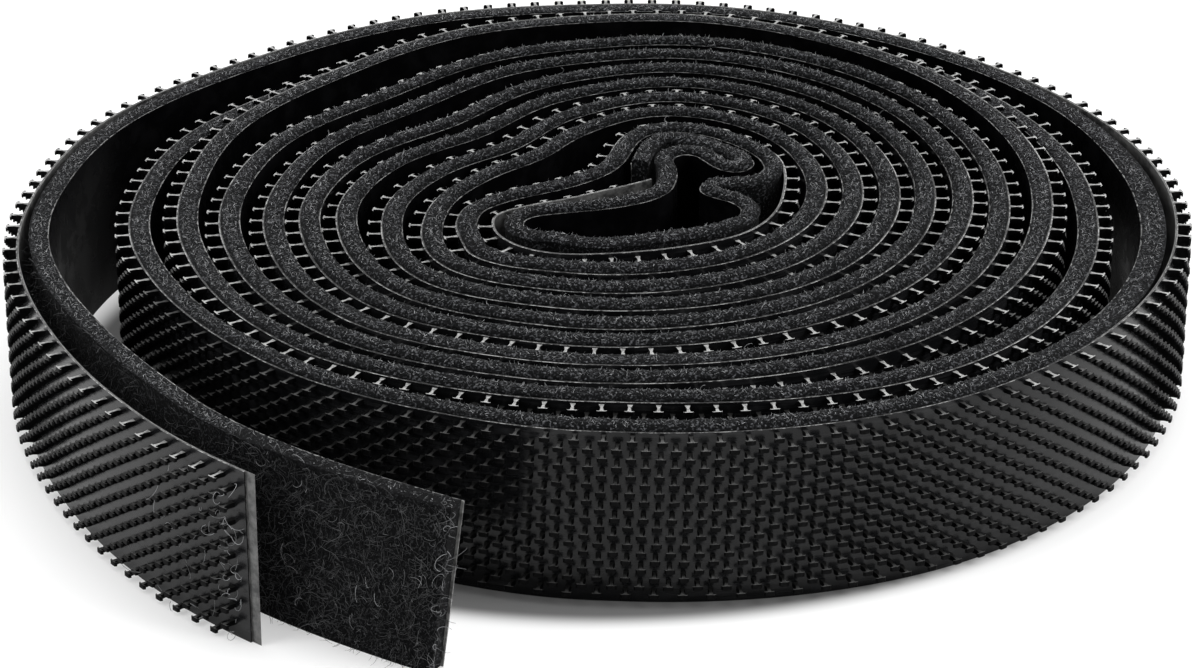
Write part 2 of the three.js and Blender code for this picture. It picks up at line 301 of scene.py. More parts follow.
@dataclass(frozen=True)
class BlackFilm(Surface):
    """Black moulded film, satin, with fine draw lines along the tape."""

    name: str = "black_hook_film"
    dark: Triple = (0.004, 0.0042, 0.0046)
    pale: Triple = (0.013, 0.0132, 0.014)
    rough: Span = (0.1, 0.1)
    shine: float = 0.22
    line_pitch: float = 0.5 * MM
    lines_along: float = 90.0
    line_share: float = 0.7
    patches_along: float = 0.6
    patch_haze: float = 0.8
    worn_span: Span = (0.2, 0.42)

    def paint(self, shader: Shader) -> None:
        """Draw lines along the tape over slow patches of shine.

        Args:
            shader: The finish's tree.
        """
        run, high = shader.attribute("run"), shader.height()
        drawn = shader.vector(run * self.lines_along, high / self.line_pitch)
        lines = shader.noise(drawn, scale=1.0, detail=3.0, rough=0.6)
        patches = shader.noise(shader.vector(run * self.patches_along, high), scale=210.0)
        worn = (lines * patches).step(*self.worn_span)
        height = lines * self.line_share + patches * (1 - self.line_share)
        normal = shader.bump(height, depth=0.05 * MM, strength=0.4)
        self.coat(shader, worn, lines + self.patch_haze * patches, Normal=normal)


@dataclass(frozen=True)
class HookPlastic(Surface):
    """The same plastic on the moulded hooks."""

    name: str = "black_hook_plastic"
    dark: Triple = (0.0014, 0.0014, 0.0015)
    pale: Triple = (0.0045, 0.0045, 0.0048)
    rough: Span = (0.34, 0.2)
    shine: float = 0.04
    grain_span: Span = (0.42, 0.75)

    def paint(self, shader: Shader) -> None:
        """Black with a slight grain."""
        grain = shader.noise(shader.place(), scale=2600.0)
        self.coat(shader, grain.step(*self.grain_span), grain)


@dataclass(frozen=True)
class CutHook(Surface):
    """The sides where a blade has parted the hooks, with stress marks: a painted highlight towards the tips,
    stress marks and painted highlight in the top row, and painted shade behind the loop tape's end.
    """

    name: str = "cut_hook_side"
    dark: Triple = (0.009, 0.009, 0.0088)
    pale: Triple = (0.3, 0.3, 0.297)
    rough: Span = (0.4, 0.25)
    shine: float = 0.2
    torn_span: Span = (0.3, 0.7)
    marks: Span = (0.55, 0.9)

    def paint(self, shader: Shader) -> None:
        """Stress marks over black plastic, with painted highlight and painted shade, as far as each hook's
        points say.

        Args:
            shader: The finish's tree.
        """
        torn = shader.noise(shader.place(), scale=2400.0, rough=0.6)
        least, more = self.marks
        marks = least + more * torn.step(*self.torn_span)
        # The points' pale share: stress marks, painted highlight towards the tips and in the top row, and
        # painted shade behind the loop tape's end.
        self.coat(shader, shader.attribute("pale") * marks, torn)


@dataclass(frozen=True)
class SlitEdge(Surface):
    """Where a blade has slit the plastic: pale and torn."""

    name: str = "slit_plastic_edge"
    dark: Triple = (0.012, 0.012, 0.0125)
    pale: Triple = (0.32, 0.32, 0.316)
    rough: Span = (0.42, 0.25)
    shine: float = 0.4
    torn_share: float = 0.65
    torn_span: Span = (0.44, 0.64)
    lip_loss: float = 0.8
    lip_span: Span = (0.5, 0.9)

    def paint(self, shader: Shader) -> None:
        """Pale stress marks, broken along the cut, less of them on the inner lip.

        Args:
            shader: The finish's tree.
        """
        torn = shader.noise(shader.place(), scale=1500.0, detail=3.0, rough=0.65)
        slow = shader.noise(shader.place(), scale=130.0, detail=1.0)
        marks = torn * self.torn_share + slow * (1 - self.torn_share)
        lip = 1.0 - self.lip_loss * shader.attribute("depth").step(*self.lip_span)
        self.coat(shader, marks.step(*self.torn_span) * lip, torn)


@dataclass(frozen=True)
class Adhesive(Surface):
    """Clear grey pressure-sensitive adhesive."""

    name: str = "grey_adhesive"
    dark: Triple = (0.02, 0.02, 0.0195)
    pale: Triple = (0.15, 0.15, 0.146)
    rough: Span = (0.3, 0.2)
    blotch_span: Span = (0.35, 0.65)

    def paint(self, shader: Shader) -> None:
        """Blotches where it has drawn away from the liner."""
        blotch = shader.noise(shader.place(), scale=700.0, detail=3.0)
        self.coat(shader, blotch.step(*self.blotch_span), blotch)


@dataclass(frozen=True)
class SmokeLiner(Surface):
    """Thin smoke-grey release film, satin, dusty with lint."""

    name: str = "smoke_grey_liner"
    dark: Triple = (0.012, 0.012, 0.0125)
    pale: Triple = (0.11, 0.11, 0.108)
    rough: Span = (0.3, 0.25)
    streaks_along: float = 0.3
    dust_share: float = 0.6
    dust_span: Span = (0.34, 0.66)

    def paint(self, shader: Shader) -> None:
        """Streaks and dust over grey film.

        Args:
            shader: The finish's tree.
        """
        dust = shader.noise(shader.place(), scale=950.0, detail=4.0, rough=0.7)
        drawn = shader.vector(shader.attribute("run") * self.streaks_along, shader.height())
        streak = shader.noise(drawn, scale=420.0)
        normal = shader.bump(streak, depth=0.08 * MM, strength=0.6)
        grey = self.dust_share * dust + (1 - self.dust_share) * streak
        self.coat(shader, grey.step(*self.dust_span), dust, Normal=normal)


@dataclass(frozen=True)
class GlossLiner(Surface):
    """Glossy black release film, bare."""

    name: str = "gloss_black_liner"
    dark: Triple = (0.0012, 0.0012, 0.0014)
    pale: Triple = (0.0035, 0.0035, 0.0039)
    rough: Span = (0.22, 0.16)
    shine: float = 0.012
    ripples_up: float = 0.5
    haze_share: float = 0.7
    haze_span: Span = (0.4, 0.7)
    dull_span: Span = (0.35, 0.75)
    speck_span: Span = (0.76, 0.82)
    speck_dullness: float = 1.25

    def paint(self, shader: Shader) -> None:
        """Slow ripples, faint handling haze and dust specks.

        Args:
            shader: The finish's tree.
        """
        along = shader.vector(shader.attribute("run"), shader.height() * self.ripples_up)
        ripple = shader.noise(along, scale=70.0)
        haze = shader.noise(shader.place(), scale=240.0, detail=3.0, rough=0.6)
        speck = shader.noise(shader.place(), scale=2300.0, detail=1.0).step(*self.speck_span)
        share = haze.step(*self.haze_span) * self.haze_share + speck * (1 - self.haze_share)
        dull = haze.step(*self.dull_span) + self.speck_dullness * speck
        normal = shader.bump(ripple, depth=0.5 * MM, strength=0.35)
        self.coat(shader, share, dull, Normal=normal)


@dataclass(frozen=True)
class Pile(Surface):
    """Charcoal napped knit, in the mass of it."""

    name: str = "charcoal_pile"
    dark: Triple = (0.001, 0.0011, 0.0013)
    pale: Triple = (0.075, 0.077, 0.082)
    rough: Span = (0.86, 0.12)
    shine: float = 0.06
    sheen: float = 0.015
    fuzz_share: float = 0.6
    tuft_share: float = 0.2
    matted_span: Span = (0.36, 0.66)
    ends_share: float = 0.97
    ends_span: Span = (0.5, 0.66)

    def paint(self, shader: Shader) -> None:
        """Matted yarn, light and dark by tufts, with the ends of single fibres lightest.

        Args:
            shader: The finish's tree.
        """
        fuzz = shader.noise(shader.place(), scale=3600.0, detail=3.0, rough=0.75)
        tuft = shader.noise(shader.place(), scale=620.0)
        ends = shader.noise(shader.place(), scale=2900.0, detail=1.0).step(*self.ends_span)
        mass = self.fuzz_share * fuzz + self.tuft_share * (tuft + shader.attribute("shade"))
        matted = mass.step(*self.matted_span)
        share = (1 - self.ends_share) * matted + self.ends_share * ends * matted
        normal = shader.bump(fuzz, depth=0.12 * MM, strength=0.9)
        self.coat(shader, share, fuzz, Normal=normal, Sheen_Weight=self.sheen)


@dataclass(frozen=True)
class Yarn(Surface):
    """Single drawn-out fibres of the pile."""

    name: str = "charcoal_yarn"
    dark: Triple = (0.007, 0.0073, 0.008)
    pale: Triple = (0.36, 0.365, 0.374)
    rough: Span = (0.55, 0.2)
    shine: float = 0.3

    def paint(self, shader: Shader) -> None:
        """Light or dark fibre by fibre."""
        share = shader.attribute("shade")
        self.coat(shader, share, share)


@dataclass(frozen=True)
class Floor(Finish):
    """Pale studio floor, white to the camera, which keeps the roll's shadow, with painted shade under the
    roll.

    Attributes:
        open_colour: Its colour outside the roll.
        painted_shade_under_roll: Painted shade: its dark colour under the roll, which stands for the shade
            between the turns.
        open_share: How much of its own light is seen outside the roll. The rest is plain white.
        hidden_share: The same under the roll.
        reach: Where the floor under the roll goes over into the open floor.
        squash: What makes the roll's outline round.
    """

    name: str = "pale_floor"
    open_colour: Triple = (0.86, 0.86, 0.86)
    painted_shade_under_roll: Triple = (0.12, 0.12, 0.12)
    open_share: float = 0.6
    hidden_share: float = 0.97
    reach: Span = (0.0765, 0.082)
    squash: Triple = (1.0, 1.11, 1.0)

    def paint(self, shader: Shader) -> None:
        """Lit white, held up towards plain white where it is seen outside the roll, and painted dark under
        the roll as shade.

        Args:
            shader: The finish's tree.
        """
        place = shader.node("VectorMath", {"operation": "MULTIPLY"}, {0: shader.place(), 1: self.squash})
        away = shader.node("VectorMath", {"operation": "LENGTH"}, {0: place}, "Value")
        outside = away.step(*self.reach)
        # Painted shade: the floor under the roll is dark, standing for the shade between its turns.
        colour = shader.blend(outside, self.painted_shade_under_roll, self.open_colour)
        lit = shader.node("BsdfDiffuse", inputs={"Color": colour})
        white = shader.node("Emission", inputs={"Strength": 1.0})
        held = outside * (self.hidden_share - self.open_share) + (1.0 - self.hidden_share)
        both = shader.node("MixShader", inputs={0: seen_ray(shader) * held, 1: lit, 2: white})
        shader.node("OutputMaterial", inputs={"Surface": both})


def seen_ray(shader: Shader) -> Wire:
    """One for rays that show the backdrop, straight or in a mirror or glass.

    Args:
        shader: The tree that asks.

    Returns:
        The share, 0 or 1.
    """
    kinds = ("Is Camera Ray", "Is Glossy Ray", "Is Transmission Ray")
    camera, glossy, through = (shader.node("LightPath", output=kind) for kind in kinds)
    return camera.most(glossy).most(through)


# Modelling


class Bench:
    """The modelling operators, each on one piece at a time."""

    cell_reach: float = 0.34
    row_shape: float = 1.3
    row_spare: float = 1.001
    map_margin: Span = (0.01, 0.04)

    @staticmethod
    def take(piece: bpy.types.Object) -> None:
        """Selects one piece alone and makes it active.

        Args:
            piece: The piece.
        """
        bpy.ops.object.select_all(action="DESELECT")
        piece.select_set(True)
        bpy.context.view_layer.objects.active = piece

    @staticmethod
    def lay(name: str, points: Array, faces: Sequence = (), edges: Sequence = ()) -> bpy.types.Object:
        """Lays out a mesh from its points.

        Args:
            name: The piece's name.
            points: Corners, in metres.
            faces: Corner numbers of each face.
            edges: Corner numbers of each loose edge.

        Returns:
            The new object, selected alone.
        """
        mesh = bpy.data.meshes.new(name)
        mesh.from_pydata(points, edges, faces)
        mesh.update()
        piece = bpy.data.objects.new(name, mesh)
        bpy.context.scene.collection.objects.link(piece)
        Bench.take(piece)
        return piece

    @staticmethod
    @contextmanager
    def editing(piece: bpy.types.Object) -> Iterator[None]:
        """Edit mode on one piece, with nothing selected.

        Args:
            piece: The piece to edit.

        Yields:
            Nothing.
        """
        Bench.take(piece)
        bpy.ops.object.mode_set(mode="EDIT")
        bpy.ops.mesh.select_all(action="DESELECT")
        yield
        bpy.ops.object.mode_set(mode="OBJECT")

    @staticmethod
    def pick(piece: bpy.types.Object, test: Callable[[Vector, Vector], bool]) -> None:
        """Selects faces in edit mode, and nothing else.

        Args:
            piece: The piece that is being edited.
            test: Says from a face's middle and normal whether it is wanted.
        """
        bpy.ops.mesh.select_mode(type="FACE")
        mesh = bmesh.from_edit_mesh(piece.data)
        for face in mesh.faces:
            face.select_set(bool(test(face.calc_center_median(), face.normal)))
        bmesh.update_edit_mesh(piece.data)

    @staticmethod
    def extrude(move: Triple, scale: Triple = (1, 1, 1)) -> None:
        """Extrudes what is selected, then scales its new end about its own middle.

        Args:
            move: How far the new end goes.
            scale: How the new end is scaled.
        """
        bpy.ops.mesh.extrude_region_move(TRANSFORM_OT_translate={"value": move})
        if scale != (1, 1, 1):
            bpy.ops.transform.resize(value=scale)

    @staticmethod
    def modify(piece: bpy.types.Object, kind: str, **settings: Any) -> None:
        """Adds a modifier and applies it.

        Args:
            piece: The piece.
            kind: The modifier's type.
            settings: Its settings.
        """
        Bench.take(piece)
        bpy.ops.object.modifier_add(type=kind)
        modifier = piece.modifiers[-1]
        for name, value in settings.items():
            setattr(modifier, name, value)
        bpy.ops.object.modifier_apply(modifier=modifier.name)

    @staticmethod
    def read(items: Any, name: str, kind: type = np.float32, width: int = 1) -> Array:
        """Reads what all the points, faces or corners of a mesh hold.

        Args:
            items: The mesh's points, faces or corners.
            name: What is read.
            kind: The kind of number.
            width: How many numbers an item holds.

        Returns:
            A number to an item, or a row where there are several.
        """
        values = np.empty(len(items) * width, kind)
        items.foreach_get(name, values)
        return values.reshape(-1, width) if width > 1 else values

    @staticmethod
    def hold(piece: bpy.types.Object, name: str, values: Array) -> None:
        """Gives the piece's points a number each."""
        layer = piece.data.attributes.new(name, "FLOAT", "POINT")
        layer.data.foreach_set("value", np.ascontiguousarray(values, np.float32))

    @staticmethod
    def wear(piece: bpy.types.Object, *finishes: Finish) -> None:
        """Gives the piece its finishes, one to each material slot.

        Args:
            piece: The piece.
            finishes: The finishes, in order.
        """
        piece.data.materials.clear()
        for finish in finishes:
            piece.data.materials.append(finish.material())

    @staticmethod
    def wear_second(piece: bpy.types.Object, wanted: Array) -> None:
        """Gives some faces the piece's second finish.

        Args:
            piece: The piece.
            wanted: Whether each face gets it.
        """
        index = Bench.read(piece.data.polygons, "material_index", np.int32)
        index[wanted] = 1
        piece.data.polygons.foreach_set("material_index", index)

    @staticmethod
    def smooth(piece: bpy.types.Object, degrees: float) -> None:
        """Shades the piece smooth where faces meet at less than an angle."""
        Bench.take(piece)
        bpy.ops.object.shade_smooth_by_angle(angle=math.radians(degrees))

    @staticmethod
    def map_faces(piece: bpy.types.Object, places: Array) -> None:
        """Gives the piece its bake map, with a place for each face corner."""
        layer = piece.data.uv_layers.new(name=BAKE_MAP)
        layer.uv.foreach_set("vector", np.ascontiguousarray(places, np.float32).ravel())

    @staticmethod
    def map_cells(piece: bpy.types.Object, cells: int) -> None:
        """Maps a piece of many equal copies, each to a cell of its own.

        Args:
            piece: The piece, whose copies follow one another.
            cells: The number of copies.
        """
        corner = np.arange(len(piece.data.loops))
        across = math.ceil(math.sqrt(cells))
        cell = corner * cells // len(corner)
        angle = corner * GOLDEN_ANGLE
        spread = 0.5 + Bench.cell_reach * np.stack([np.cos(angle), np.sin(angle)], 1)
        Bench.map_faces(piece, (np.stack([cell % across, cell // across], 1) + spread) / across)

    @staticmethod
    def map_strip(piece: bpy.types.Object, tall: float) -> None:
        """Maps a long strip in rows, by its run and height.

        Args:
            piece: The strip, which holds a run at its points.
            tall: The strip's height.
        """
        mesh = piece.data
        corner = Bench.read(mesh.loops, "vertex_index", np.int32)
        first = Bench.read(mesh.polygons, "loop_start", np.int32)
        count = np.diff(np.append(first, len(corner)))
        run = Bench.read(mesh.attributes["run"].data, "value")
        run = run - run.min()
        height = Bench.read(mesh.vertices, "co", width=3)[:, 2]
        rows = max(1, round(math.sqrt(run.max() / (Bench.row_shape * tall))))
        length = run.max() / rows * Bench.row_spare
        start = np.minimum.reduceat(run[corner], first)
        row = np.repeat(np.floor(start / length), count)
        along = run[corner] / length - row
        up = (height[corner] - height.min()) / max(np.ptp(height), tall)
        aside, under = Bench.map_margin
        places = [aside + (1 - 2 * aside) * along, (row + under + (1 - 2 * under) * up) / rows]
        Bench.map_faces(piece, np.stack(places, 1))


# The winding


@dataclass(frozen=True)
class LayerSizes:
    """Thicknesses of both tapes' layers in the solids and as shown, and the room between them."""

    width: float = 25.4 * MM
    hook_film: float = 0.35 * MM
    hook_adhesive: float = 0.15 * MM
    hook_liner: float = 0.1 * MM
    fabric: float = 2.05 * MM
    loop_adhesive: float = 0.15 * MM
    loop_liner: float = 0.1 * MM
    gap: float = 0.04 * MM
    tip_gap: float = 0.15 * MM
    hook_height: float = 1.9 * MM
    shown_film: float = 0.2 * MM
    shown_adhesive: float = 0.1 * MM
    shown_hook_liner: float = 0.05 * MM
    shown_loop_liner: float = 0.1 * MM
    shown_gap: float = 0.012 * MM

    @property
    def hook_stack(self) -> float:
        """Film, adhesive and liner of the hook tape."""
        return self.hook_film + self.hook_adhesive + self.hook_liner + 2 * self.gap

    @property
    def loop_stack(self) -> float:
        """Fabric, adhesive and liner of the loop tape."""
        return self.fabric + self.loop_adhesive + self.loop_liner + 2 * self.gap

    @property
    def shown_hook_stack(self) -> float:
        """Film, adhesive and liner of the hook tape, as thin as they look."""
        return self.shown_film + self.shown_adhesive + self.shown_hook_liner + 2 * self.shown_gap

    @property
    def pitch(self) -> float:
        """One turn of both tapes, hooks and all."""
        return self.hook_height + self.tip_gap + self.hook_stack + self.gap + self.loop_stack


def smooth_series(value_at: Callable[[Array], Array], place: Array) -> Array:
    """A smooth curve through evenly spaced values.

    Args:
        value_at: The values at whole places.
        place: Where the curve is wanted.

    Returns:
        The curve's values there.
    """
    i = np.floor(place).astype(int)
    f = place - i
    a, b, c, d = (value_at(i + k) for k in (-1, 0, 1, 2))
    return b + 0.5 * f * (c - a + f * (2 * a - 5 * b + 4 * c - d + f * (3 * (b - c) + d - a)))


def smooth_step(x: Array, low: float, high: float) -> Array:
    """A smooth step from 0 at low to 1 at high."""
    t = np.clip((x - low) / (high - low), 0, 1)
    return t * t * (3 - 2 * t)


def soften(values: Array, reach: float) -> Array:
    """Evens out a series and keeps its ends.

    Args:
        values: The series, one row to a place.
        reach: Standard deviation of the blur, in places.

    Returns:
        The series, softened.
    """
    half = int(math.ceil(3 * reach))
    kernel = np.exp(-0.5 * (np.arange(-half, half + 1) / reach) ** 2)
    kernel /= kernel.sum()
    before = 2 * values[0] - values[half:0:-1]
    after = 2 * values[-1] - values[-2 : -half - 2 : -1]
    padded = np.concatenate([before, values, after])
    return np.stack([np.convolve(column, kernel, "valid") for column in padded.T], 1)


@dataclass
class TapeLine:
    """A line along a tape, seen from above, from the core outwards."""

    place: Array
    turn: Array

    def __post_init__(self) -> None:
        """Works out the run and the directions along the line."""
        step = np.hypot(*np.diff(self.place, axis=0).T)
        self.run = np.concatenate([[0.0], np.cumsum(step)])
        along = np.gradient(self.place, axis=0)
        self.along = along / np.maximum(np.hypot(*along.T), 1e-12)[:, None]
        self.side = np.stack([self.along[:, 1], -self.along[:, 0]], 1)

    def at(self, run: Any, values: Array) -> Array:
        """What is known at the line's points, read at other places.

        Args:
            run: Runs along the line, one or several.
            values: A number or a row to a point of the line.

        Returns:
            A number or a row to a run.
        """
        if values.ndim == 1:
            return np.interp(run, self.run, values)
        return np.stack([np.interp(run, self.run, column) for column in values.T], -1)

    def even(self, spacing: float) -> "TapeLine":
        """The same line with its points evenly spaced."""
        run = np.linspace(0, self.run[-1], max(2, round(self.run[-1] / spacing)) + 1)
        return TapeLine(self.at(run, self.place), self.at(run, self.turn))

    def some(self, keep: Array) -> "TapeLine":
        """The line through some of the points."""
        return TapeLine(self.place[keep], self.turn[keep])

    def run_at(self, turn: float) -> float:
        """The run at a place on the winding."""
        return float(np.interp(turn, self.turn, self.run))

    def beside(self, distance: Any) -> "TapeLine":
        """A line beside this one, with the same points.

        Args:
            distance: How far outwards it lies, one number or one for each point.

        Returns:
            The line. Where a fold is too tight for it, its points lie close together.
        """
        away = np.broadcast_to(np.asarray(distance, float), len(self.place))
        moved = self.place + self.side * away[:, None]
        back = np.einsum("ij,ij->i", np.diff(moved, axis=0), self.along[:-1]) <= 0
        last = -1
        for i in np.flatnonzero(back):
            if i <= last:
                continue
            first, last = i, i + 1
            while first > 0 and last < len(moved) - 1:
                ahead = self.along[first] + self.along[last]
                if (moved[last] - moved[first]) @ ahead > 0 and not back[last]:
                    break
                first, last = first - 1, last + 1
            share = np.linspace(0, 1, last - first + 1)[:, None]
            moved[first : last + 1] = moved[first] * (1 - share) + moved[last] * share
        return TapeLine(moved, self.turn)


@dataclass
class Winding:
    """The double spiral of both tapes about its centre, with its folded core.

    Places on it are counted in turns from its right side. Spans of turns below zero are counted back
    from the hook tape's end.

    Attributes:
        first_turn: Radii round the first turn, in pitches.
        looseness: Spare room inside each later turn, in millimetres.
        parting: Gap between the tapes near the end, in millimetres, by turns past the hook tape's end.
        hook_core: Places of the hook tape's folds, in pitches.
        loop_core: Places of the loop tape's folds, in pitches.
    """

    sizes: LayerSizes = field(default_factory=LayerSizes)
    first_turn_start: float = 0.625
    hook_turns: float = 9.668
    radii_past: float = 0.12
    line_past: float = 0.004
    loop_run_on: float = 27.2 * MM
    hook_free_end: float = 32.0 * MM
    loop_free_end: float = 28.5 * MM
    bend_gap: float = 0.5 * MM
    core_lift: float = 3.4 * MM
    lift_fade: Span = (-2.27, -1.47)
    flare_span: float = 0.1
    end_flare: float = 5.5 * MM
    samples: int = 96
    slope_reach: int = 6
    front: float = 0.75
    spacing: float = 0.4 * MM
    line_points: int = 9000
    core_steps: int = 16
    hook_softness: float = 1.2 * MM
    loop_softness: float = 0.7 * MM
    core_join: float = 1.5 * MM
    swell: float = 0.75 * MM
    swell_span: Triple = (-0.9, -0.7, -0.59)
    swell_hold: float = 0.05
    first_turn: tuple[float, ...] = (
        5.73, 5.42, 5.42, 5.73, 6, 6.13, 6.19, 5.71, 4.3, 3.42, 4.06, 5.44,
    )
    looseness: tuple[tuple[float, ...], ...] = (
        (0, 0.6, 0.7, 0.1, 0, 0, 0, 1),
        (0, 0.1, 0.6, 0.2, 0, 0.4, 1.6, 1.8),
        (0, 0.4, 0, 0, 0, 0.4, 0.6, 0.2),
        (0, 0, 0, 0.3, 0, 0.4, 2.8, 0.2),
        (0, 0, 1.7, 0, 0, 0, 1.2, 1.4),
        (0, 0, 0, 1.2, 2.2, 4.6, 5.8, 1.4),
        (0, 0, 3.6, 1.1, 0.2, 0.4, 0, 2),
        (0, 3.4, 2.1, 6.5, 2.5, 2.2, 7.4, 10),
        (14.5,),
    )
    parting: Table = (
        (-0.78, 0), (-0.65, 1.9), (-0.55, 0.5), (-0.42, 0.5), (-0.17, 1), (-0.04, 5.4), (0.05, 7),
    )
    hook_core: Table = (
        (1.06, 0.69), (0.58, 0.39), (-0.38, -0.1), (-1.35, -0.6), (-2.69, -1.16), (-3.35, -1.66),
        (-3.42, -2.29), (-3.2, -3.02), (-2.5, -3.75), (-1.54, -4.12), (-0.38, -4.12), (1.54, -3.79),
        (3.37, -3.04), (4.13, -2.31), (4.62, -1.35), (4.87, -0.1), (4.94, 1.15), (4.79, 2.12),
        (4.23, 3.02), (3.37, 3.81), (2.4, 4.29), (1.44, 4.38), (0.69, 4.08), (0.23, 3.46),
        (-0.02, 2.75), (-0.19, 2.08), (-0.5, 1.46), (-1.06, 0.92), (-1.92, 0.38), (-3.08, -0.19),
        (-4.19, -1.15), (-4.48, -2.5),
    )
    loop_core: Table = (
        (0.48, 1.62), (0.56, 2.02), (0.67, 2.5), (0.87, 3.08), (1.15, 3.42), (1.5, 3.58),
        (2.06, 3.52), (2.7, 3.24), (3.36, 2.74), (3.82, 2.23), (4.06, 1.8), (3.96, 1.36),
        (3.65, 1.08), (3.19, 1.15), (2.84, 1.46), (2.6, 1.84), (2.38, 2.16), (2.1, 2.27),
        (1.8, 2.12), (1.7, 1.86), (1.8, 1.45), (1.81, 0.63), (1.6, -0.19), (1.06, -0.77),
        (0, -1.25), (-1.35, -1.56), (-2.32, -1.85), (-2.54, -2.22), (-2.42, -2.6), (-2.08, -2.83),
        (-1.5, -2.92), (-0.96, -3.19), (-0.19, -3.27), (1.15, -2.94), (2.62, -2.47), (3.4, -1.93),
        (3.58, -1.36), (3.32, -0.9), (2.81, -0.58), (2.44, -0.19), (2.5, 0.31), (2.94, 0.58),
        (3.5, 0.58), (3.98, 0.72), (4.31, 1.1),
    )

    def __post_init__(self) -> None:
        """Works out the radii, the free ends, the centre in the roll's frame and both lines."""
        self.radii = self._radii()
        self.loop_turns = self.hook_turns + self.turns_for(self.loop_run_on, self.hook_turns)
        self.hook_bend = self.hook_turns - self.turns_for(self.hook_free_end, self.hook_turns)
        self.loop_bend = self.loop_turns - self.turns_for(self.loop_free_end, self.loop_turns)
        front_turn = math.floor(self.hook_turns + self.lift_fade[0]) + self.front
        self.coil_front = self.point(np.array([front_turn]))[0, 1]
        hinge = next(j for j in frame["joints"] if j["name"] == "hook_end_bend")
        middle = self.hook_bend - self.turns_for(self.bend_gap, self.hook_bend) / 2
        self.centre = np.array(hinge["pos_m"][:2]) - self.point(np.array([middle]))[0]
        self.hook_line = self._hook_line()
        self.loop_line = self._loop_line()

    def _spare_room(self, turn: Array) -> Array:
        """Spare room inside the turns, which grows where the end flares out.

        Args:
            turn: Places on the winding.

        Returns:
            The room at each.
        """
        places = np.array([v for row in self.looseness for v in row]) * MM
        spread = (turn - self.first_turn_start - 1) * len(self.looseness[0])
        wound = smooth_series(lambda i: places[np.clip(i, 0, len(places) - 1)], spread)
        flare = np.maximum(0, 1 + (turn - self.hook_turns) / self.flare_span)
        return np.maximum(0, wound) + self.end_flare * flare**2

    def _radii(self) -> Array:
        """Lays each turn of the hook film one pitch and its room outside the last.

        Returns:
            The radius at each sample.
        """
        first = np.array(self.first_turn)
        count = math.ceil((self.hook_turns + self.radii_past - self.first_turn_start) * self.samples)
        turn = self.first_turn_start + np.arange(count) / self.samples
        room = self._spare_room(turn)
        opening = np.arange(self.samples) / self.samples * len(first)
        shares = smooth_series(lambda i: first[i % len(first)] + i // len(first), opening)
        radii = list(self.sizes.pitch * shares)
        for k in range(self.samples, count):
            inner = radii[k - self.samples]
            reach = min(self.slope_reach, k - self.samples)
            rise = radii[k - self.samples + self.slope_reach] - radii[k - self.samples - reach]
            slope = rise / (self.slope_reach + reach) * self.samples / WHOLE_TURN
            radii.append(inner + math.hypot(1, slope / inner) * (self.sizes.pitch + room[k]))
        return np.array(radii)

    def point(self, turn: Array) -> Array:
        """Points of the hook film's outer face.

        Args:
            turn: Places on the winding.

        Returns:
            The points, about the centre.
        """
        last = len(self.radii) - 1
        sample = (turn - self.first_turn_start) * self.samples
        radius = smooth_series(lambda i: self.radii[np.clip(i, 0, last)], sample)
        angle = WHOLE_TURN * turn
        return np.stack([radius * np.cos(angle), radius * np.sin(angle)], 1)

    def turns_for(self, length: float, turn: float) -> float:
        """The share of a turn that a length takes up at a place."""
        return length / (WHOLE_TURN * float(np.hypot(*self.point(np.array([turn]))[0])))

    def parted(self, turn: Array) -> Array:
        """Gap between the hook tape's back and the pile.

        Args:
            turn: Places on the winding.

        Returns:
            The gap at each.
        """
        gap = np.zeros_like(turn)
        past = turn - self.hook_turns
        for (low, before), (high, after) in zip(self.parting, self.parting[1:]):
            gap = np.where(past >= low, before + (after - before) * smooth_step(past, low, high), gap)
        return gap * MM

    def swollen(self, turn: Array) -> Array:
        """How much thicker the pile is where the last turn leaves it room.

        Args:
            turn: Places on the winding.

        Returns:
            The added thickness at each.
        """
        past = turn - self.hook_turns
        low, high, end = self.swell_span
        share = smooth_step(past, low, high) * (1 - smooth_step(past, high + self.swell_hold, end))
        return self.swell * share

    def lift(self, line: TapeLine) -> Array:
        """How far the inner turns ride up: most at the back, none at the front.

        Args:
            line: A line along a tape.

        Returns:
            The rise at each of its points.
        """
        share = 1 - smooth_step(line.turn - self.hook_turns, *self.lift_fade)
        rise = np.maximum(0, line.place[:, 1] - self.coil_front)
        return share * self.core_lift * rise / (-2 * self.coil_front)

    def _core(self, places: Table) -> Array:
        """A smooth curve through the places of a folded core.

        Args:
            places: The places, in pitches from the centre.

        Returns:
            The curve's points.
        """
        known = np.array(places) * self.sizes.pitch
        known = np.concatenate([[2 * known[0] - known[1]], known, [2 * known[-1] - known[-2]]])
        share = np.linspace(0, 1, self.core_steps, endpoint=False)[:, None]
        curve = []
        for p0, p1, p2, p3 in zip(known, known[1:], known[2:], known[3:]):
            d0, d1, d2 = (math.sqrt(math.dist(a, b)) for a, b in ((p0, p1), (p1, p2), (p2, p3)))
            start = ((p1 - p0) / d0 - (p2 - p0) / (d0 + d1) + (p2 - p1) / d1) * d1
            end = ((p2 - p1) / d1 - (p3 - p1) / (d1 + d2) + (p3 - p2) / d2) * d1
            bend = -3 * p1 + 3 * p2 - 2 * start - end
            curve.append(p1 + share * (start + share * (bend + share * (2 * p1 - 2 * p2 + start + end))))
        return np.concatenate([*curve, known[-2:-1]])

    def _hook_line(self) -> TapeLine:
        """The hook film's outer face, run on to where the loop tape ends.

        Returns:
            The line.
        """
        core = self._core(self.hook_core)[:-1]
        turn = np.linspace(self.first_turn_start, self.loop_turns + self.line_past, self.line_points)
        place = np.concatenate([core, self.point(turn)])
        line = TapeLine(place, np.concatenate([np.zeros(len(core)), turn])).even(self.spacing)
        return TapeLine(soften(line.place, self.hook_softness / self.spacing), line.turn)

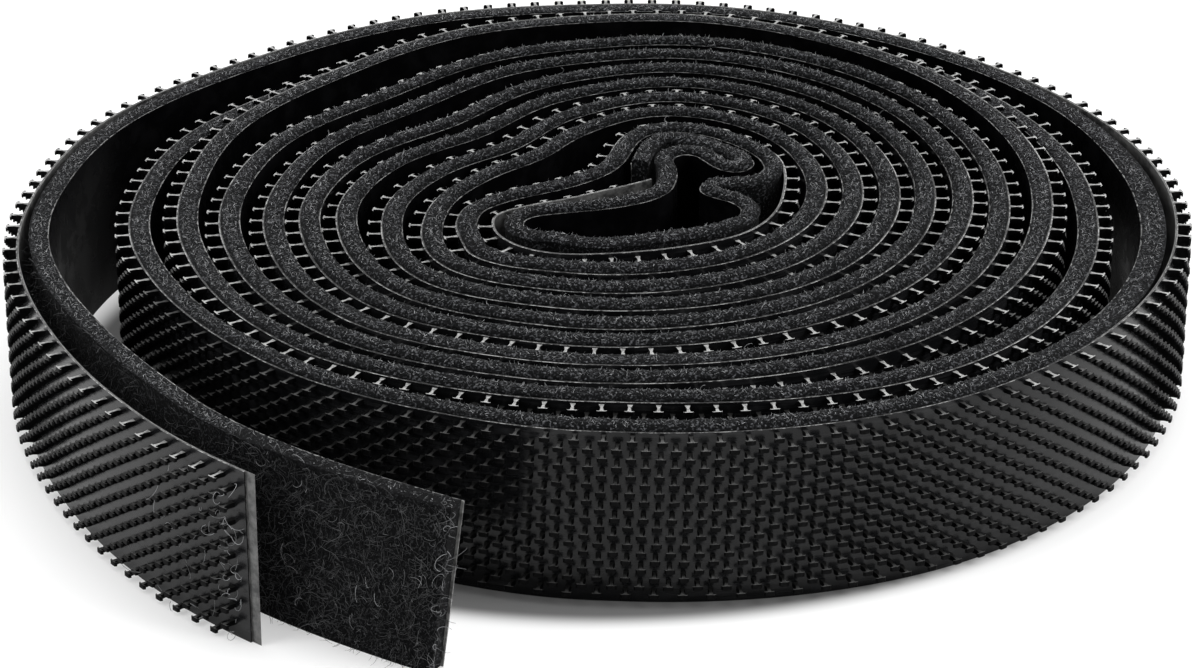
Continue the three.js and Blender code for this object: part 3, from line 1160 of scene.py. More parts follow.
    def _loop_line(self) -> TapeLine:
        """The loop liner's inner face: its own folded core, then close inside the hook tape.

        Returns:
            The line.
        """
        core = self._core(self.loop_core)
        sizes, hook = self.sizes, self.hook_line
        depth = sizes.hook_stack + sizes.gap + self.parted(hook.turn) + sizes.loop_stack
        inside = hook.beside(-(depth + self.swollen(hook.turn)))
        near = np.hypot(*(inside.place - core[-1]).T)
        near[inside.turn > 0] = np.inf
        join = int(np.argmin(near)) + round(self.core_join / self.spacing)
        last = int(np.searchsorted(inside.turn, self.loop_turns))
        place = np.concatenate([core, inside.place[join:last]])
        turn = np.concatenate([np.zeros(len(core)), inside.turn[join:last]])
        line = TapeLine(place, turn).even(self.spacing)
        return TapeLine(soften(line.place, self.loop_softness / self.spacing), line.turn)

    def stand(self, line: TapeLine) -> Array:
        """The tape's lower edge along a line, in the roll's frame."""
        return np.column_stack([line.place + self.centre, self.lift(line)])


# Fibres


@dataclass(frozen=True)
class Strand:
    """A kind of fibre.

    Attributes:
        length: Least and greatest length, in millimetres.
        curl: Least and greatest angle that it turns through.
        radius: Its radius at the root.
        rings: Rings of points along it.
        shade: Least and greatest lightness.
        rarity: Power that makes the light ones rarer.
    """

    length: Span
    curl: Span
    radius: float
    rings: int
    shade: Span
    rarity: float = 1.0


TAPER = 0.55
EDGE_STRAND = Strand((0.22, 0.68), (0.3, 1.9), 0.035 * MM, 3, (0.0, 1.0), 1.7)
END_EDGE_STRAND = replace(EDGE_STRAND, rarity=2.0)
FACE_STRAND = Strand((0.9, 3.2), (0.3, 2.6), 0.04 * MM, 6, (0.004, 0.194), 3.0)
HOOK_LINT = Strand((0.8, 4.2), (0.8, 5.0), 0.045 * MM, 9, (0.2, 0.62))
END_LINT = Strand((1.0, 4.0), (1.0, 5.0), 0.045 * MM, 9, (0.2, 0.62))
COIL_LINT = Strand((0.8, 2.6), (1.5, 5.5), 0.04 * MM, 9, (0.25, 0.7))


def swung(along: Array, lean: Array, swing: Array) -> Array:
    """Directions in a tape's face, swung up by an angle, with a lean off it."""
    return np.column_stack([along * np.cos(swing)[:, None] + lean, np.sin(swing)])


def fibre_mesh(
    name: str,
    strand: Strand,
    root: Array,
    way: Array,
    rng: np.random.Generator,
    curl_rng: np.random.Generator | None = None,
    cropped: Any = 1.0,
) -> bpy.types.Object:
    """Three-sided tubes along arcs, one to a fibre, kept off the floor.

    Args:
        name: The piece's name.
        strand: The kind of fibre.
        root: Where each fibre starts.
        way: Which way it starts.
        rng: Source of lengths, curls and shades.
        curl_rng: Source of the directions in which they curl, if it is another.
        cropped: What is left of each fibre's length.

    Returns:
        The piece.
    """
    count, rings = len(root), strand.rings
    length = rng.uniform(*strand.length, count) * cropped * MM
    curl = rng.uniform(*strand.curl, count)[:, None]
    least, most = strand.shade
    shade = least + (most - least) * rng.uniform(0, 1, count) ** strand.rarity
    way = way / np.linalg.norm(way, axis=1, keepdims=True)
    across = np.cross(way, (curl_rng or rng).normal(size=(count, 3)))
    across /= np.linalg.norm(across, axis=1, keepdims=True)
    third = np.cross(way, across)
    angle = curl * np.linspace(0, 1, rings)
    size = (length[:, None] / curl)[:, :, None]
    sine, cosine = np.sin(angle)[:, :, None], np.cos(angle)[:, :, None]
    middle = root[:, None] + size * (sine * way[:, None] + (1 - cosine) * across[:, None])
    normal = cosine * across[:, None] - sine * way[:, None]
    thick = strand.radius * np.linspace(1.0, TAPER, rings)[None, :, None]
    corners = WHOLE_TURN * np.arange(3) / 3
    tube = [middle + thick * (math.cos(t) * normal + math.sin(t) * third[:, None]) for t in corners]
    points = np.stack(tube, 2)
    points[..., 2] = np.maximum(points[..., 2], 0.0)
    sides = []
    for ring in range(rings - 1):
        for k in range(3):
            a, b = 3 * ring + k, 3 * ring + (k + 1) % 3
            sides += [(a, b, b + 3), (a, b + 3, a + 3)]
    tip = 3 * (rings - 1)
    sides += [(0, 2, 1), (tip, tip + 1, tip + 2)]
    faces = np.array(sides) + (np.arange(count) * 3 * rings)[:, None, None]
    piece = Bench.lay(name, points.reshape(-1, 3), faces=faces.reshape(-1, 3))
    Bench.hold(piece, "shade", np.repeat(shade, 3 * rings))
    Bench.wear(piece, Yarn())
    Bench.map_cells(piece, count)
    return piece


# The tapes


@dataclass
class Bend:
    """Where a free end starts to bend, and a reach about that place."""

    line: TapeLine
    run: float
    winding: Winding
    coil: Body
    end: Body
    reach: float = 7.0 * MM
    spare: float = 9.0 * MM

    @property
    def split(self) -> float:
        """The run at which the pieces of the free end begin."""
        return self.run - self.spare

    def carry(self, piece: bpy.types.Object) -> None:
        """Bakes a piece's placing into its points.

        Args:
            piece: The piece.
        """
        for run in (self.run - self.reach, self.run + self.reach):
            x, y = self.line.at(run, self.line.place) + self.winding.centre
        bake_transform(piece)


@dataclass(frozen=True)
class Layer:
    """One thin layer of a tape.

    Attributes:
        node: First words of the CAD nodes that it stands for.
        slot: Its material slot.
        outer: Where its outer face lies, outwards from the tape's line.
        thickness: How thick it is shown.
        face: The finish of its faces.
        edge: The finish of its slit edges.
        overhang: How far it runs on past the tape's end.
    """

    node: str
    slot: Slot
    outer: float
    thickness: float
    face: Finish
    edge: Finish
    overhang: float = 0.0


@dataclass
class Tape:
    """What both tapes share: a coil and a free end, and thin layers laid along them."""

    winding: Winding

    def follow(self, line: TapeLine, bend: float, last: float, bodies: tuple[Body, Body]) -> None:
        """Takes up the tape's line.

        Args:
            line: The line.
            bend: The turn at which the free end bends.
            last: The run at which the tape ends.
            bodies: The bodies of the coil and the free end.
        """
        self.sizes = self.winding.sizes
        self.line = line
        self.bend = Bend(line, line.run_at(bend), self.winding, *bodies)
        self.last = last

    def stretches(self, overhang: float = 0.0) -> Sequence[tuple[Stretch, float, float]]:
        """The coil and the free end, with the runs at which each starts and ends."""
        split = self.bend.split
        return (Stretch.COIL, 0.0, split), (Stretch.END, split, self.last + overhang)

    def between(self, first: float, last: float, step: float = 2) -> Array:
        """Numbers of the line's points between two runs.

        Args:
            first: The first run.
            last: The last run.
            step: How many points there are to one that is kept.

        Returns:
            The numbers, the last point's among them.
        """
        low, high = (int(np.searchsorted(self.line.run, run)) for run in (first, last))
        high = min(high, len(self.line.run) - 1)
        return np.unique(np.append(np.round(np.arange(low, high, step)).astype(int), high))

    def carry(self, piece: bpy.types.Object, stretch: Stretch) -> None:
        """Rides a piece on the coil, or bakes a piece of the free end in place.

        Args:
            piece: The piece.
            stretch: The stretch that it lies on.
        """
        if stretch is Stretch.COIL:
            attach(piece, self.bend.coil.value)
        else:
            self.bend.carry(piece)

    def trim(self, piece: bpy.types.Object) -> None:
        """Works on a layer's cut end, which is left plain here."""

    def lay(self, layers: Sequence[Layer]) -> list[bpy.types.Object]:
        """Builds thin layers, each in the coil and in the free end.

        Args:
            layers: The layers.

        Returns:
            The pieces.
        """
        pieces = []
        for layer in layers:
            whole = self.line.beside(layer.outer)
            for stretch, first, last in self.stretches(layer.overhang):
                node = f"{layer.node}_{stretch.value}"
                piece = self._strip(f"{node}_dressed", whole.some(self.between(first, last)), layer)
                if stretch is Stretch.END:
                    self.trim(piece)
                self.carry(piece, stretch)
                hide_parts(node)
                pieces.append(piece)
        return pieces

    def _strip(self, name: str, line: TapeLine, layer: Layer) -> bpy.types.Object:
        """A layer on edge: its line, extruded up by the tape's width and thickened inwards.

        Args:
            name: The piece's name.
            line: The layer's outer face.
            layer: The layer.

        Returns:
            The piece.
        """
        count = len(line.place)
        chain = np.column_stack([np.arange(count - 1), np.arange(1, count)])
        piece = Bench.lay(name, self.winding.stand(line), edges=chain.tolist())
        Bench.hold(piece, "run", line.run)
        with Bench.editing(piece):
            bpy.ops.mesh.select_mode(type="EDGE")
            bpy.ops.mesh.select_all(action="SELECT")
            Bench.extrude((0, 0, self.sizes.width))
            if self._faces_inwards(piece, line):
                bpy.ops.mesh.select_all(action="SELECT")
                bpy.ops.mesh.flip_normals()
        shell = len(piece.data.vertices)
        Bench.modify(piece, "SOLIDIFY", thickness=layer.thickness, offset=-1.0, material_offset_rim=1)
        Bench.hold(piece, "depth", np.arange(len(piece.data.vertices)) >= shell)
        Bench.wear(piece, layer.face, layer.edge)
        upward = Bench.read(piece.data.polygons, "normal", width=3)[:, 2]
        Bench.wear_second(piece, np.abs(upward) > MOSTLY)
        Bench.smooth(piece, degrees=35)
        Bench.map_strip(piece, self.sizes.width)
        return piece

    @staticmethod
    def _faces_inwards(piece: bpy.types.Object, line: TapeLine) -> bool:
        """Whether a strip that is being edited looks towards the inside of its curve.

        Args:
            piece: The strip.
            line: The line that it was extruded from.

        Returns:
            Whether its first face does.
        """
        mesh = bmesh.from_edit_mesh(piece.data)
        mesh.faces.ensure_lookup_table()
        mesh.normal_update()
        face = mesh.faces[0]
        outwards = line.side[face.verts[0].index % len(line.place)]
        return face.normal.x * outwards[0] + face.normal.y * outwards[1] < 0


@dataclass(frozen=True)
class HookShape:
    """The steps by which a hook is extruded, in millimetres: the move of each new end and its scale.

    Attributes:
        foot: Length of its foot along the tape.
        stem: Steps outwards, up to the head.
        arm: Steps along the tape from the head.
    """

    foot: float
    stem: tuple[tuple[Triple, Triple], ...]
    arm: tuple[tuple[Triple, Triple], ...]


HOOK_HEAD = ((0, 0.23, 0), (0.9, 1, 1))
WAISTED_HOOK = HookShape(
    0.72,
    (((0, 0.8, 0), (0.46, 1, 0.97)), ((0, 0.87, 0), (1.55, 1, 1)), HOOK_HEAD),
    (((0.28, 0.02, 0), (1, 0.7, 0.96)), ((0.17, -0.17, 0), (1, 0.75, 0.88))),
)
PLAIN_HOOK = HookShape(0.5, (((0, 1.67, 0), (1, 1, 1)), HOOK_HEAD), (((0.5, -0.08, 0), (1, 0.5, 1)),))


@dataclass
class HookForm:
    """One moulded hook's mesh, and which of its faces the blade parts, which take stress marks, painted
    highlight and painted shade.
    """

    points: Array
    faces: Array
    cut: Array


@dataclass
class HookTape(Tape):
    """The moulded hook tape: film and hooks, adhesive and liner.

    Attributes:
        row_drift: Margin over the first row on the last turn, in millimetres, by turns past the end.
        back_drift: The same at the back of the inner turns, by turn.
        front_drift: The same at the front of the inner turns, by turn.
        least_margin: Least margin under the last row, in the coil and in the free end.
        end_room: Bare film at the tape's inner and outer ends.
        last_turn: Where the last turn starts, where its front starts, and where its top-row hooks are left
            dark, without stress marks or painted highlight.
        shadow: Where the loop tape's end darkens the hooks' cut sides with painted shade, by turns past it.
        lint_spread: How far in from the tape's end the lint reaches on the average.
        lint_out: How far off the film the lint clings, in millimetres.
        lint_up: Shares of the width between which it clings.
    """

    column_pitch: float = 1.9 * MM
    row_pitch: float = 2.54 * MM
    rows: int = 10
    edge_rows: int = 2
    hook_width: float = 0.7 * MM
    hook_height: float = 2.0 * MM
    foot_depth: float = 0.2 * MM
    head_depth: float = 0.2 * MM
    row_drift: Table = (
        (-1.05, 0.45), (-0.92, 0.35), (-0.8, 0.6), (-0.7, 0.35), (-0.6, 0.12), (-0.28, 0.1), (-0.2, 0.2),
        (-0.1, 0.8), (0, 1.38),
    )
    back_drift: Table = ((1.0, 0.2), (2.6, 0.2), (3.0, 1.0), (6.0, 1.0), (6.9, 0.2), (10.0, 0.2))
    front_drift: Table = (
        (4.2, 1.1), (4.5, 0.15), (5.0, 0.15), (5.3, 1.1), (7.2, 1.1), (7.5, 0.3), (10.0, 0.3),
    )
    drift_blend: float = 0.1
    least_margin: Span = (0.75 * MM, 0.1 * MM)
    end_room: Span = (2.0 * MM, 0.3 * MM)
    column_lean: float = 0.04
    last_turn: tuple[float, float, Span] = (-1.35, -0.75, (-1.1, -0.8))
    twist: float = 0.035
    unevenness: float = 0.015
    tip_span: Span = (1.3 * MM, 1.7 * MM)
    # Paleness of the top row's cut sides: stress marks of the blade together with a painted highlight where
    # the light catches them.
    torn_pale_and_highlight: Span = (0.7, 0.3)
    # Painted highlight: the cut sides grow paler towards the hooks' tips, where light catches the arms.
    tip_highlight: float = 0.2
    # Painted shade on the hooks' cut sides, behind the loop tape's end.
    shadow: tuple[Span, Span] = ((-0.16, -0.12), (-0.01, 0.07))
    shadow_depth: float = 0.6
    liner_overhang: float = 1.4 * MM
    hook_seed: int = 11
    lint_seed: int = 41
    lint_count: int = 60
    lint_spread: float = 5.0 * MM
    lint_out: Span = (0.9, 2.1)
    lint_up: Span = (0.04, 0.96)
    lint_lean: float = 0.25

    def __post_init__(self) -> None:
        """Takes up the hook tape's line."""
        winding, line = self.winding, self.winding.hook_line
        last = line.run_at(winding.hook_turns)
        self.follow(line, winding.hook_bend, last, (Body.HOOK_COIL, Body.HOOK_END))

    def build(self) -> list[bpy.types.Object]:
        """Builds the coil's and the free end's layers, and all the hooks.

        Returns:
            The pieces.
        """
        sizes, glue = self.sizes, Adhesive()
        film, coat, liner = sizes.shown_film, sizes.shown_adhesive, sizes.shown_hook_liner
        coat_face = -film - sizes.shown_gap
        liner_face = coat_face - coat - sizes.shown_gap
        smoke, overhang = SmokeLiner(), self.liner_overhang
        layers = (
            Layer("hook_tape", Slot.HOOK_FILM, 0.0, film, BlackFilm(), SlitEdge()),
            Layer("hook_adhesive", Slot.ADHESIVE, coat_face, coat, glue, glue),
            Layer("hook_liner", Slot.HOOK_LINER, liner_face, liner, smoke, smoke, overhang),
        )
        return self.lay(layers) + self._hooks() + [self._lint()]

    def _hook_form(self, shape: HookShape) -> HookForm:
        """Models one hook in millimetres: a stem under a head with two arms.

        Args:
            shape: The steps of its stem and its arms.

        Returns:
            The hook, along the tape in x, outwards in y and down from its top in z.
        """
        bpy.ops.object.select_all(action="DESELECT")
        bpy.ops.mesh.primitive_cube_add(size=1.0)
        piece = bpy.context.object
        width = self.hook_width / MM
        under_head = (self.hook_height - self.head_depth) / MM
        with Bench.editing(piece):
            bpy.ops.mesh.select_all(action="SELECT")
            bpy.ops.transform.resize(value=(shape.foot, self.foot_depth / MM, width))
            bpy.ops.transform.translate(value=(0, 0, -width / 2))
            Bench.pick(piece, lambda middle, normal: normal.y > MOSTLY and middle.y > 0)
            for move, scale in shape.stem:
                Bench.extrude(move, scale)
            for sign in (-1, 1):
                Bench.pick(piece, lambda middle, normal: normal.x * sign > MOSTLY and middle.y > under_head)
                for (along, out, down), scale in shape.arm:
                    Bench.extrude((along * sign, out, down), scale)
            Bench.pick(piece, lambda middle, normal: normal.y < -MOSTLY and middle.y < 0)
            bpy.ops.mesh.delete(type="FACE")
        points = np.array([v.co for v in piece.data.vertices]) * MM
        faces = np.array([p.vertices for p in piece.data.polygons])
        normal = np.array([p.normal for p in piece.data.polygons])
        bpy.data.objects.remove(piece)
        return HookForm(points, faces, np.abs(normal[:, 2]) > MOSTLY)

    def _margin(self, turn: Array) -> Array:
        """How far under the slit edge the first row lies, which wanders along the tape.

        Args:
            turn: Places on the winding.

        Returns:
            The distance at each.
        """
        past, margin = np.array(self.row_drift).T
        last = turn - self.winding.hook_turns
        back = np.interp(turn, *np.array(self.back_drift).T)
        ahead = np.interp(turn, *np.array(self.front_drift).T)
        inner = ahead + (back - ahead) * (0.5 + 0.5 * np.sin(WHOLE_TURN * turn))
        share = smooth_step(last, past[0] - self.drift_blend, past[0])
        return (inner + (np.interp(last, past, margin) - inner) * share) * MM

    def _hooks(self) -> list[bpy.types.Object]:
        """Copies the hook along the tape in staggered columns, counted from the bend.

        Returns:
            The pieces of hooks.
        """
        rng = np.random.default_rng(self.hook_seed)
        waisted, plain = self._hook_form(WAISTED_HOOK), self._hook_form(PLAIN_HOOK)
        inner_room, outer_room = self.end_room
        first = math.ceil((inner_room - self.bend.run) / self.column_pitch - 0.5)
        final = math.floor((self.last - outer_room - self.bend.run) / self.column_pitch - 0.5)
        column = np.repeat(np.arange(first, final + 1), self.rows)
        row = np.tile(np.arange(self.rows), final + 1 - first)
        odd = column % 2
        at = self.bend.run + (column + 0.5) * self.column_pitch
        turn = self.line.at(at, self.line.turn)
        top = self.sizes.width - self._margin(turn) - odd * self.row_pitch / 2 - row * self.row_pitch
        in_coil, in_end = self.least_margin
        fits = top - self.hook_width > np.where(at > self.bend.split, in_end, in_coil)
        row, odd, at, turn, top = (values[fits] for values in (row, odd, at, turn, top))
        at = at + self.column_lean * (top - self.sizes.width)
        past = turn - self.winding.hook_turns
        starts, front, (untorn, torn_again) = self.last_turn
        tail = at > self.bend.split
        outer = (past > starts) & ~tail
        inner = (past <= starts) & ~tail
        edge = row < self.edge_rows
        # Top-row hooks get pale cut sides, stress marks with a painted highlight, except over a stretch near
        # the front where they are dim.
        torn = (row == 0) & (odd == 0) & ~((past > untorn) & (past < torn_again))
        groups = [
            ("hooks_of_free_end", waisted, tail),
            ("hooks_of_last_turn_front", waisted, outer & (past > front)),
            ("hooks_of_last_turn_back", waisted, outer & (past <= front)),
            ("hooks_at_slit_edge", waisted, inner & edge),
        ]
        third = np.floor(3 * at / at.max())
        for number, name in enumerate(("inner", "middle", "outer")):
            groups.append((f"hooks_between_{name}_turns", plain, inner & ~edge & (third == number)))
        pieces = []
        for name, form, wanted in groups:
            piece = self._copies(name, form, at[wanted], top[wanted], torn[wanted], rng)
            self.carry(piece, Stretch.END if wanted is tail else Stretch.COIL)
            pieces.append(piece)
        return pieces

    def _copies(
        self, name: str, form: HookForm, at: Array, top: Array, torn: Array, rng: np.random.Generator
    ) -> bpy.types.Object:
        """Lays copies of a hook along the film.

        Args:
            name: The piece's name.
            form: The hook.
            at: Run of each copy.
            top: Height of each copy's upper side over the lower edge.
            torn: Whether each copy's sides are pale, with stress marks of a blade and a painted highlight.
            rng: Source of the small differences between hooks.

        Returns:
            The piece.
        """
        line, count = self.line, len(at)
        foot, along = line.at(at, self.winding.stand(line)), line.at(at, line.along)
        along += along[:, ::-1] * [-1, 1] * rng.normal(0, self.twist, (count, 1))
        side = np.column_stack([along[:, 1], -along[:, 0]])
        tall = 1 + rng.normal(0, self.unevenness, count)
        local = np.broadcast_to(form.points, (count, *form.points.shape))
        flat = local[:, :, :1] * along[:, None] + (local[:, :, 1] * tall[:, None])[:, :, None] * side[:, None]
        drop = local[:, :, 2] + (foot[:, 2] + top)[:, None]
        points = np.concatenate([foot[:, None, :2] + flat, drop[:, :, None]], 2).reshape(-1, 3)
        faces = (form.faces + (np.arange(count) * len(form.points))[:, None, None]).reshape(-1, 4)
        piece = Bench.lay(name, points, faces=faces)
        # Pale share of the cut sides: stress marks and painted highlight in the top row, painted highlight
        # towards the tips, lowered by painted shade behind the loop tape's end.
        tip = smooth_step(form.points[:, 1], *self.tip_span)
        past = line.at(at, line.turn) + 1 - self.winding.loop_line.turn[-1]
        starts, ends = self.shadow
        painted_shade = smooth_step(past, *starts) * (1 - smooth_step(past, *ends))
        whole, more = self.torn_pale_and_highlight
        pale = np.where(torn[:, None], whole + more * tip, self.tip_highlight * tip)
        Bench.hold(piece, "pale", (pale * (1 - self.shadow_depth * painted_shade[:, None])).ravel())
        Bench.wear(piece, HookPlastic(), CutHook())
        Bench.wear_second(piece, np.tile(form.cut, count))
        Bench.smooth(piece, degrees=32)
        Bench.map_cells(piece, count)
        return piece

    def _lint(self) -> bpy.types.Object:
        """Pale loops of lint that cling to the hooks of the free end.

        Returns:
            The piece.
        """
        rng = np.random.default_rng(self.lint_seed)
        line, count = self.line, self.lint_count
        run = np.maximum(self.last - rng.exponential(self.lint_spread, count), self.bend.run)
        along, side = line.at(run, line.along), line.at(run, line.side)
        swing = rng.uniform(0, WHOLE_TURN, count)
        root = line.at(run, self.winding.stand(line))
        root[:, :2] += side * rng.uniform(*self.lint_out, (count, 1)) * MM
        root[:, 2] += rng.uniform(*self.lint_up, count) * self.sizes.width
        way = swung(along, side * self.lint_lean, swing)
        piece = fibre_mesh("lint_on_hooks_of_free_end", HOOK_LINT, root, way, rng)
        self.carry(piece, Stretch.END)
        return piece


@dataclass(frozen=True)
class Fineness:
    """How finely a stretch of the fabric is modelled.

    Attributes:
        step: Points of the tape's line to a section.
        tall: Points up its face.
        sink: Share of the thickness by which its face is matted.
        seed: Start of its random series.
    """

    step: float
    tall: int
    sink: float
    seed: int


@dataclass
class LoopTape(Tape):
    """The knitted loop tape: napped fabric, adhesive and glossy liner.

    Attributes:
        bare_end: Liner that shows past the fabric at the free end.
        frayed: How far the slit edge's finish reaches in from there.
        slant: How far the free end's lower corner is drawn back, over slant_reach.
        crown: The upper edge's section: shares of the thickness, and of the crown's rise.
        crown_rise: The crown's rise, least and most, and free_rise at the free end.
        crown_fade: Turns over which the crown of the inner turns sinks.
        parted_turn: Turns between which the crown is flattened.
        crown_matting: How far the crown is matted, and how far it leans out, in shares of the thickness.
        crown_uneven: Least share of the crown's rise that a place has, and what matting adds to it.
        edge_thirds: Stretches of the coil's edges, by shares of its run, each with a random seed.
        edge_density: Edge fibres to a millimetre of tape, in the coil and in the free end.
        upper_share: How many of them stand on the upper edge.
        face_density: Face fibres to a square millimetre, in the coil and in the free end.
    """

    bare_end: float = 0.45 * MM
    frayed: float = 0.6 * MM
    slant: float = 3.6 * MM
    slant_reach: float = 16.0 * MM
    crown: Table = (
        (1.0, 0.16), (0.98, 0.5), (0.84, 0.8), (0.64, 0.97), (0.42, 1.0), (0.2, 0.92), (0.03, 0.6),
        (-0.02, 0.16),
    )
    crown_rise: Span = (0.25 * MM, 0.85 * MM)
    free_rise: float = 0.1 * MM
    crown_fade: Span = (6.1, 7.0)
    crown_front: Span = (0.35, 0.9)
    crown_free: Span = (-0.3, -0.1)
    parted_turn: Triple = (5.4, 5.75, 6.1)
    flattened: float = 0.9
    crown_matting: Span = (0.16, 0.08)
    coil_fabric: Fineness = Fineness(step=1.5, tall=5, sink=0.02, seed=4)
    end_fabric: Fineness = Fineness(step=1, tall=44, sink=0.1, seed=5)
    foot_shares: tuple[float, ...] = (0.06, 0.5, 0.94)
    face_heights: Span = (0.012, 0.988)
    back_heights: tuple[float, ...] = (0.985, 0.5, 0.015)
    crown_uneven: Span = (0.8, 0.35)
    end_shade: float = 0.2
    coil_shade: float = 0.4
    fibre_seed: int = 23
    edge_thirds: tuple[tuple[str, float, float, int], ...] = (
        ("core", 0.0, 0.34, 31), ("middle_turns", 0.34, 0.67, 33), ("outer_turns", 0.67, 1.0, 32),
    )
    edge_density: Span = (13.5, 8.0)
    upper_share: Span = (0.9, 0.7)
    edge_inset: Span = (0.1, 0.92)
    edge_root: float = 0.95
    lower_root: float = 0.12 * MM
    lower_spread: float = 0.35
    lower_crop: float = 0.5
    edge_spread: float = 0.55
    edge_pull: float = 0.9
    edge_tilt: Span = (0.08, 0.6)
    face_density: Span = (1.6, 3.6)
    face_fibres_from: float = 0.22
    face_margin: float = 0.3 * MM
    face_root: float = 0.93
    face_up: Span = (0.02, 0.98)
    face_lean: Span = (0.03, 0.3)
    end_lint_count: int = 80
    end_lint_margin: float = 0.2 * MM
    end_lint_root: Span = (0.85, 1.0)
    end_lint_up: Span = (0.03, 1.0)
    end_lint_lean: float = 0.3
    coil_lint_seed: int = 47
    coil_lint_count: int = 70
    coil_lint_run: Span = (0.03, 0.99)
    coil_lint_root: Span = (0.15, 0.85)
    coil_lint_up: float = 0.9
    coil_lint_lean: float = 0.4
    coil_lint_tilt: Span = (0.0, 0.3)

    def __post_init__(self) -> None:
        """Takes up the loop tape's line, and the fabric's back and face beside it."""
        winding, line = self.winding, self.winding.loop_line
        self.follow(line, winding.loop_bend, line.run[-1], (Body.LOOP_COIL, Body.LOOP_END))
        sizes = self.sizes
        self.fabric_face = sizes.shown_loop_liner + sizes.shown_adhesive + 2 * sizes.shown_gap
        self.back = line.beside(self.fabric_face)
        spare = sizes.hook_stack - sizes.shown_hook_stack
        self.front = line.beside(sizes.loop_stack + spare + winding.swollen(line.turn))

    def build(self) -> list[bpy.types.Object]:
        """Builds the coil's and the free end's layers and their fibres.

        Returns:
            The pieces.
        """
        sizes, glue = self.sizes, Adhesive()
        liner, coat = sizes.shown_loop_liner, sizes.shown_adhesive
        coat_face = self.fabric_face - sizes.shown_gap
        pieces = self.lay((
            Layer("loop_liner", Slot.LOOP_LINER, liner, liner, GlossLiner(), SlitEdge()),
            Layer("loop_adhesive", Slot.ADHESIVE, coat_face, coat, glue, glue),
        ))
        for stretch, first, last in self.stretches():
            last = min(last, self.last - self.bare_end)
            piece = self._fabric(stretch, first, last)
            self.carry(piece, stretch)
            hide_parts(f"loop_fabric_{stretch.value}")
            last - first
            pieces.append(piece)
        return pieces + self._fibres()

    def carry(self, piece: bpy.types.Object, stretch: Stretch) -> None:
        """Rides a piece on the coil, or cuts a piece of the free end at a slant and bakes it in place.

        Args:
            piece: The piece.
            stretch: The stretch that it lies on.
        """
        if stretch is Stretch.END:
            self._cut(piece)
        super().carry(piece, stretch)

    def _from_end(self, points: Array) -> Array:
        """How far points lie past the tape's end, along it."""
        return (points[:, :2] - self.winding.centre - self.line.place[-1]) @ self.line.along[-1]

    def _cut(self, piece: bpy.types.Object) -> None:
        """Draws the lower corner of the free end back, as a slanting cut leaves it.

        Args:
            piece: A piece of the free end.
        """
        mesh = piece.data
        points = Bench.read(mesh.vertices, "co", width=3)
        near = smooth_step(self._from_end(points), -self.slant_reach, 0.0)
        low = np.clip(1 - points[:, 2] / self.sizes.width, 0, 1)
        points[:, :2] -= self.line.along[-1] * (self.slant * near * low)[:, None]
        mesh.vertices.foreach_set("co", points.ravel())
        mesh.update()

    def trim(self, piece: bpy.types.Object) -> None:
        """Gives the last of a layer, which shows past the fabric, the slit edge's finish."""
        middle = Bench.read(piece.data.polygons, "center", width=3)
        Bench.wear_second(piece, self._from_end(middle) > -self.bare_end - self.frayed)

    def _section(self, tall: int) -> tuple[Array, Array]:
        """The fabric's section, from its lower edge up its face and down its back.

        Args:
            tall: Points up the face.

        Returns:
            Shares of the thickness, and heights, which are over the width by the crown's shares of it.
        """
        width = self.sizes.width
        section = [(share, 0.0) for share in self.foot_shares]
        section += [(1.0, up * width) for up in np.linspace(*self.face_heights, tall)]
        section += [(share, width * (1 + rise)) for share, rise in self.crown]
        section += [(0.0, up * width) for up in self.back_heights]
        share, height = np.array(section).T
        return share, height

    def _fabric(self, stretch: Stretch, first: float, last: float) -> bpy.types.Object:
        """The fabric's mass: a soft-edged section drawn along the tape, with its surface matted.

        Args:
            stretch: The coil or the free end.
            first: Run at which it starts.
            last: Run at which it ends.

        Returns:
            The piece.
        """
        fine = stretch is Stretch.END
        make = self.end_fabric if fine else self.coil_fabric
        keep = self.between(first, last, make.step)
        share, height = self._section(make.tall)
        width, count = self.sizes.width, len(share)
        rough = np.random.default_rng(make.seed).uniform(0, 1, (len(keep), count))
        inner, outer = self.back.place[keep][:, None], self.front.place[keep][:, None]
        proud = height > width
        matting, lean = self.crown_matting
        sink = np.where(share == 1.0, make.sink, np.where(proud, matting, 0.0)) * rough
        flat = inner + (outer - inner) * (share - sink + lean * proud)[:, :, None] + self.winding.centre
        line = self.line.some(keep)
        least, more = self.crown_uneven
        rise = np.where(proud, (height / width - 1) * (least + more * rough), 0.0)
        rise = rise * self._crown_rise(line.turn)[:, None]
        level = self.winding.lift(line)[:, None] + np.minimum(height, width) + rise
        points = np.concatenate([flat, level[:, :, None]], 2)
        ring = np.arange(len(keep) - 1)[:, None] * count
        a, b = np.arange(count), np.roll(np.arange(count), -1)
        faces = np.stack([ring + a, ring + a + count, ring + b + count, ring + b], 2).reshape(-1, 4)
        piece = Bench.lay(f"loop_fabric_{stretch.value}_dressed", points.reshape(-1, 3), faces=faces)
        with Bench.editing(piece):
            bpy.ops.mesh.select_mode(type="EDGE")
            bpy.ops.mesh.select_non_manifold(extend=False)
            bpy.ops.mesh.fill_holes(sides=0)
        Bench.hold(piece, "run", np.repeat(self.line.run[keep], count))
        shade = self.end_shade * rough if fine else np.where(proud, rough, self.coil_shade)
        Bench.hold(piece, "shade", shade.ravel())
        Bench.wear(piece, Pile())
        Bench.smooth(piece, degrees=60)
        Bench.map_strip(piece, width)
        return piece

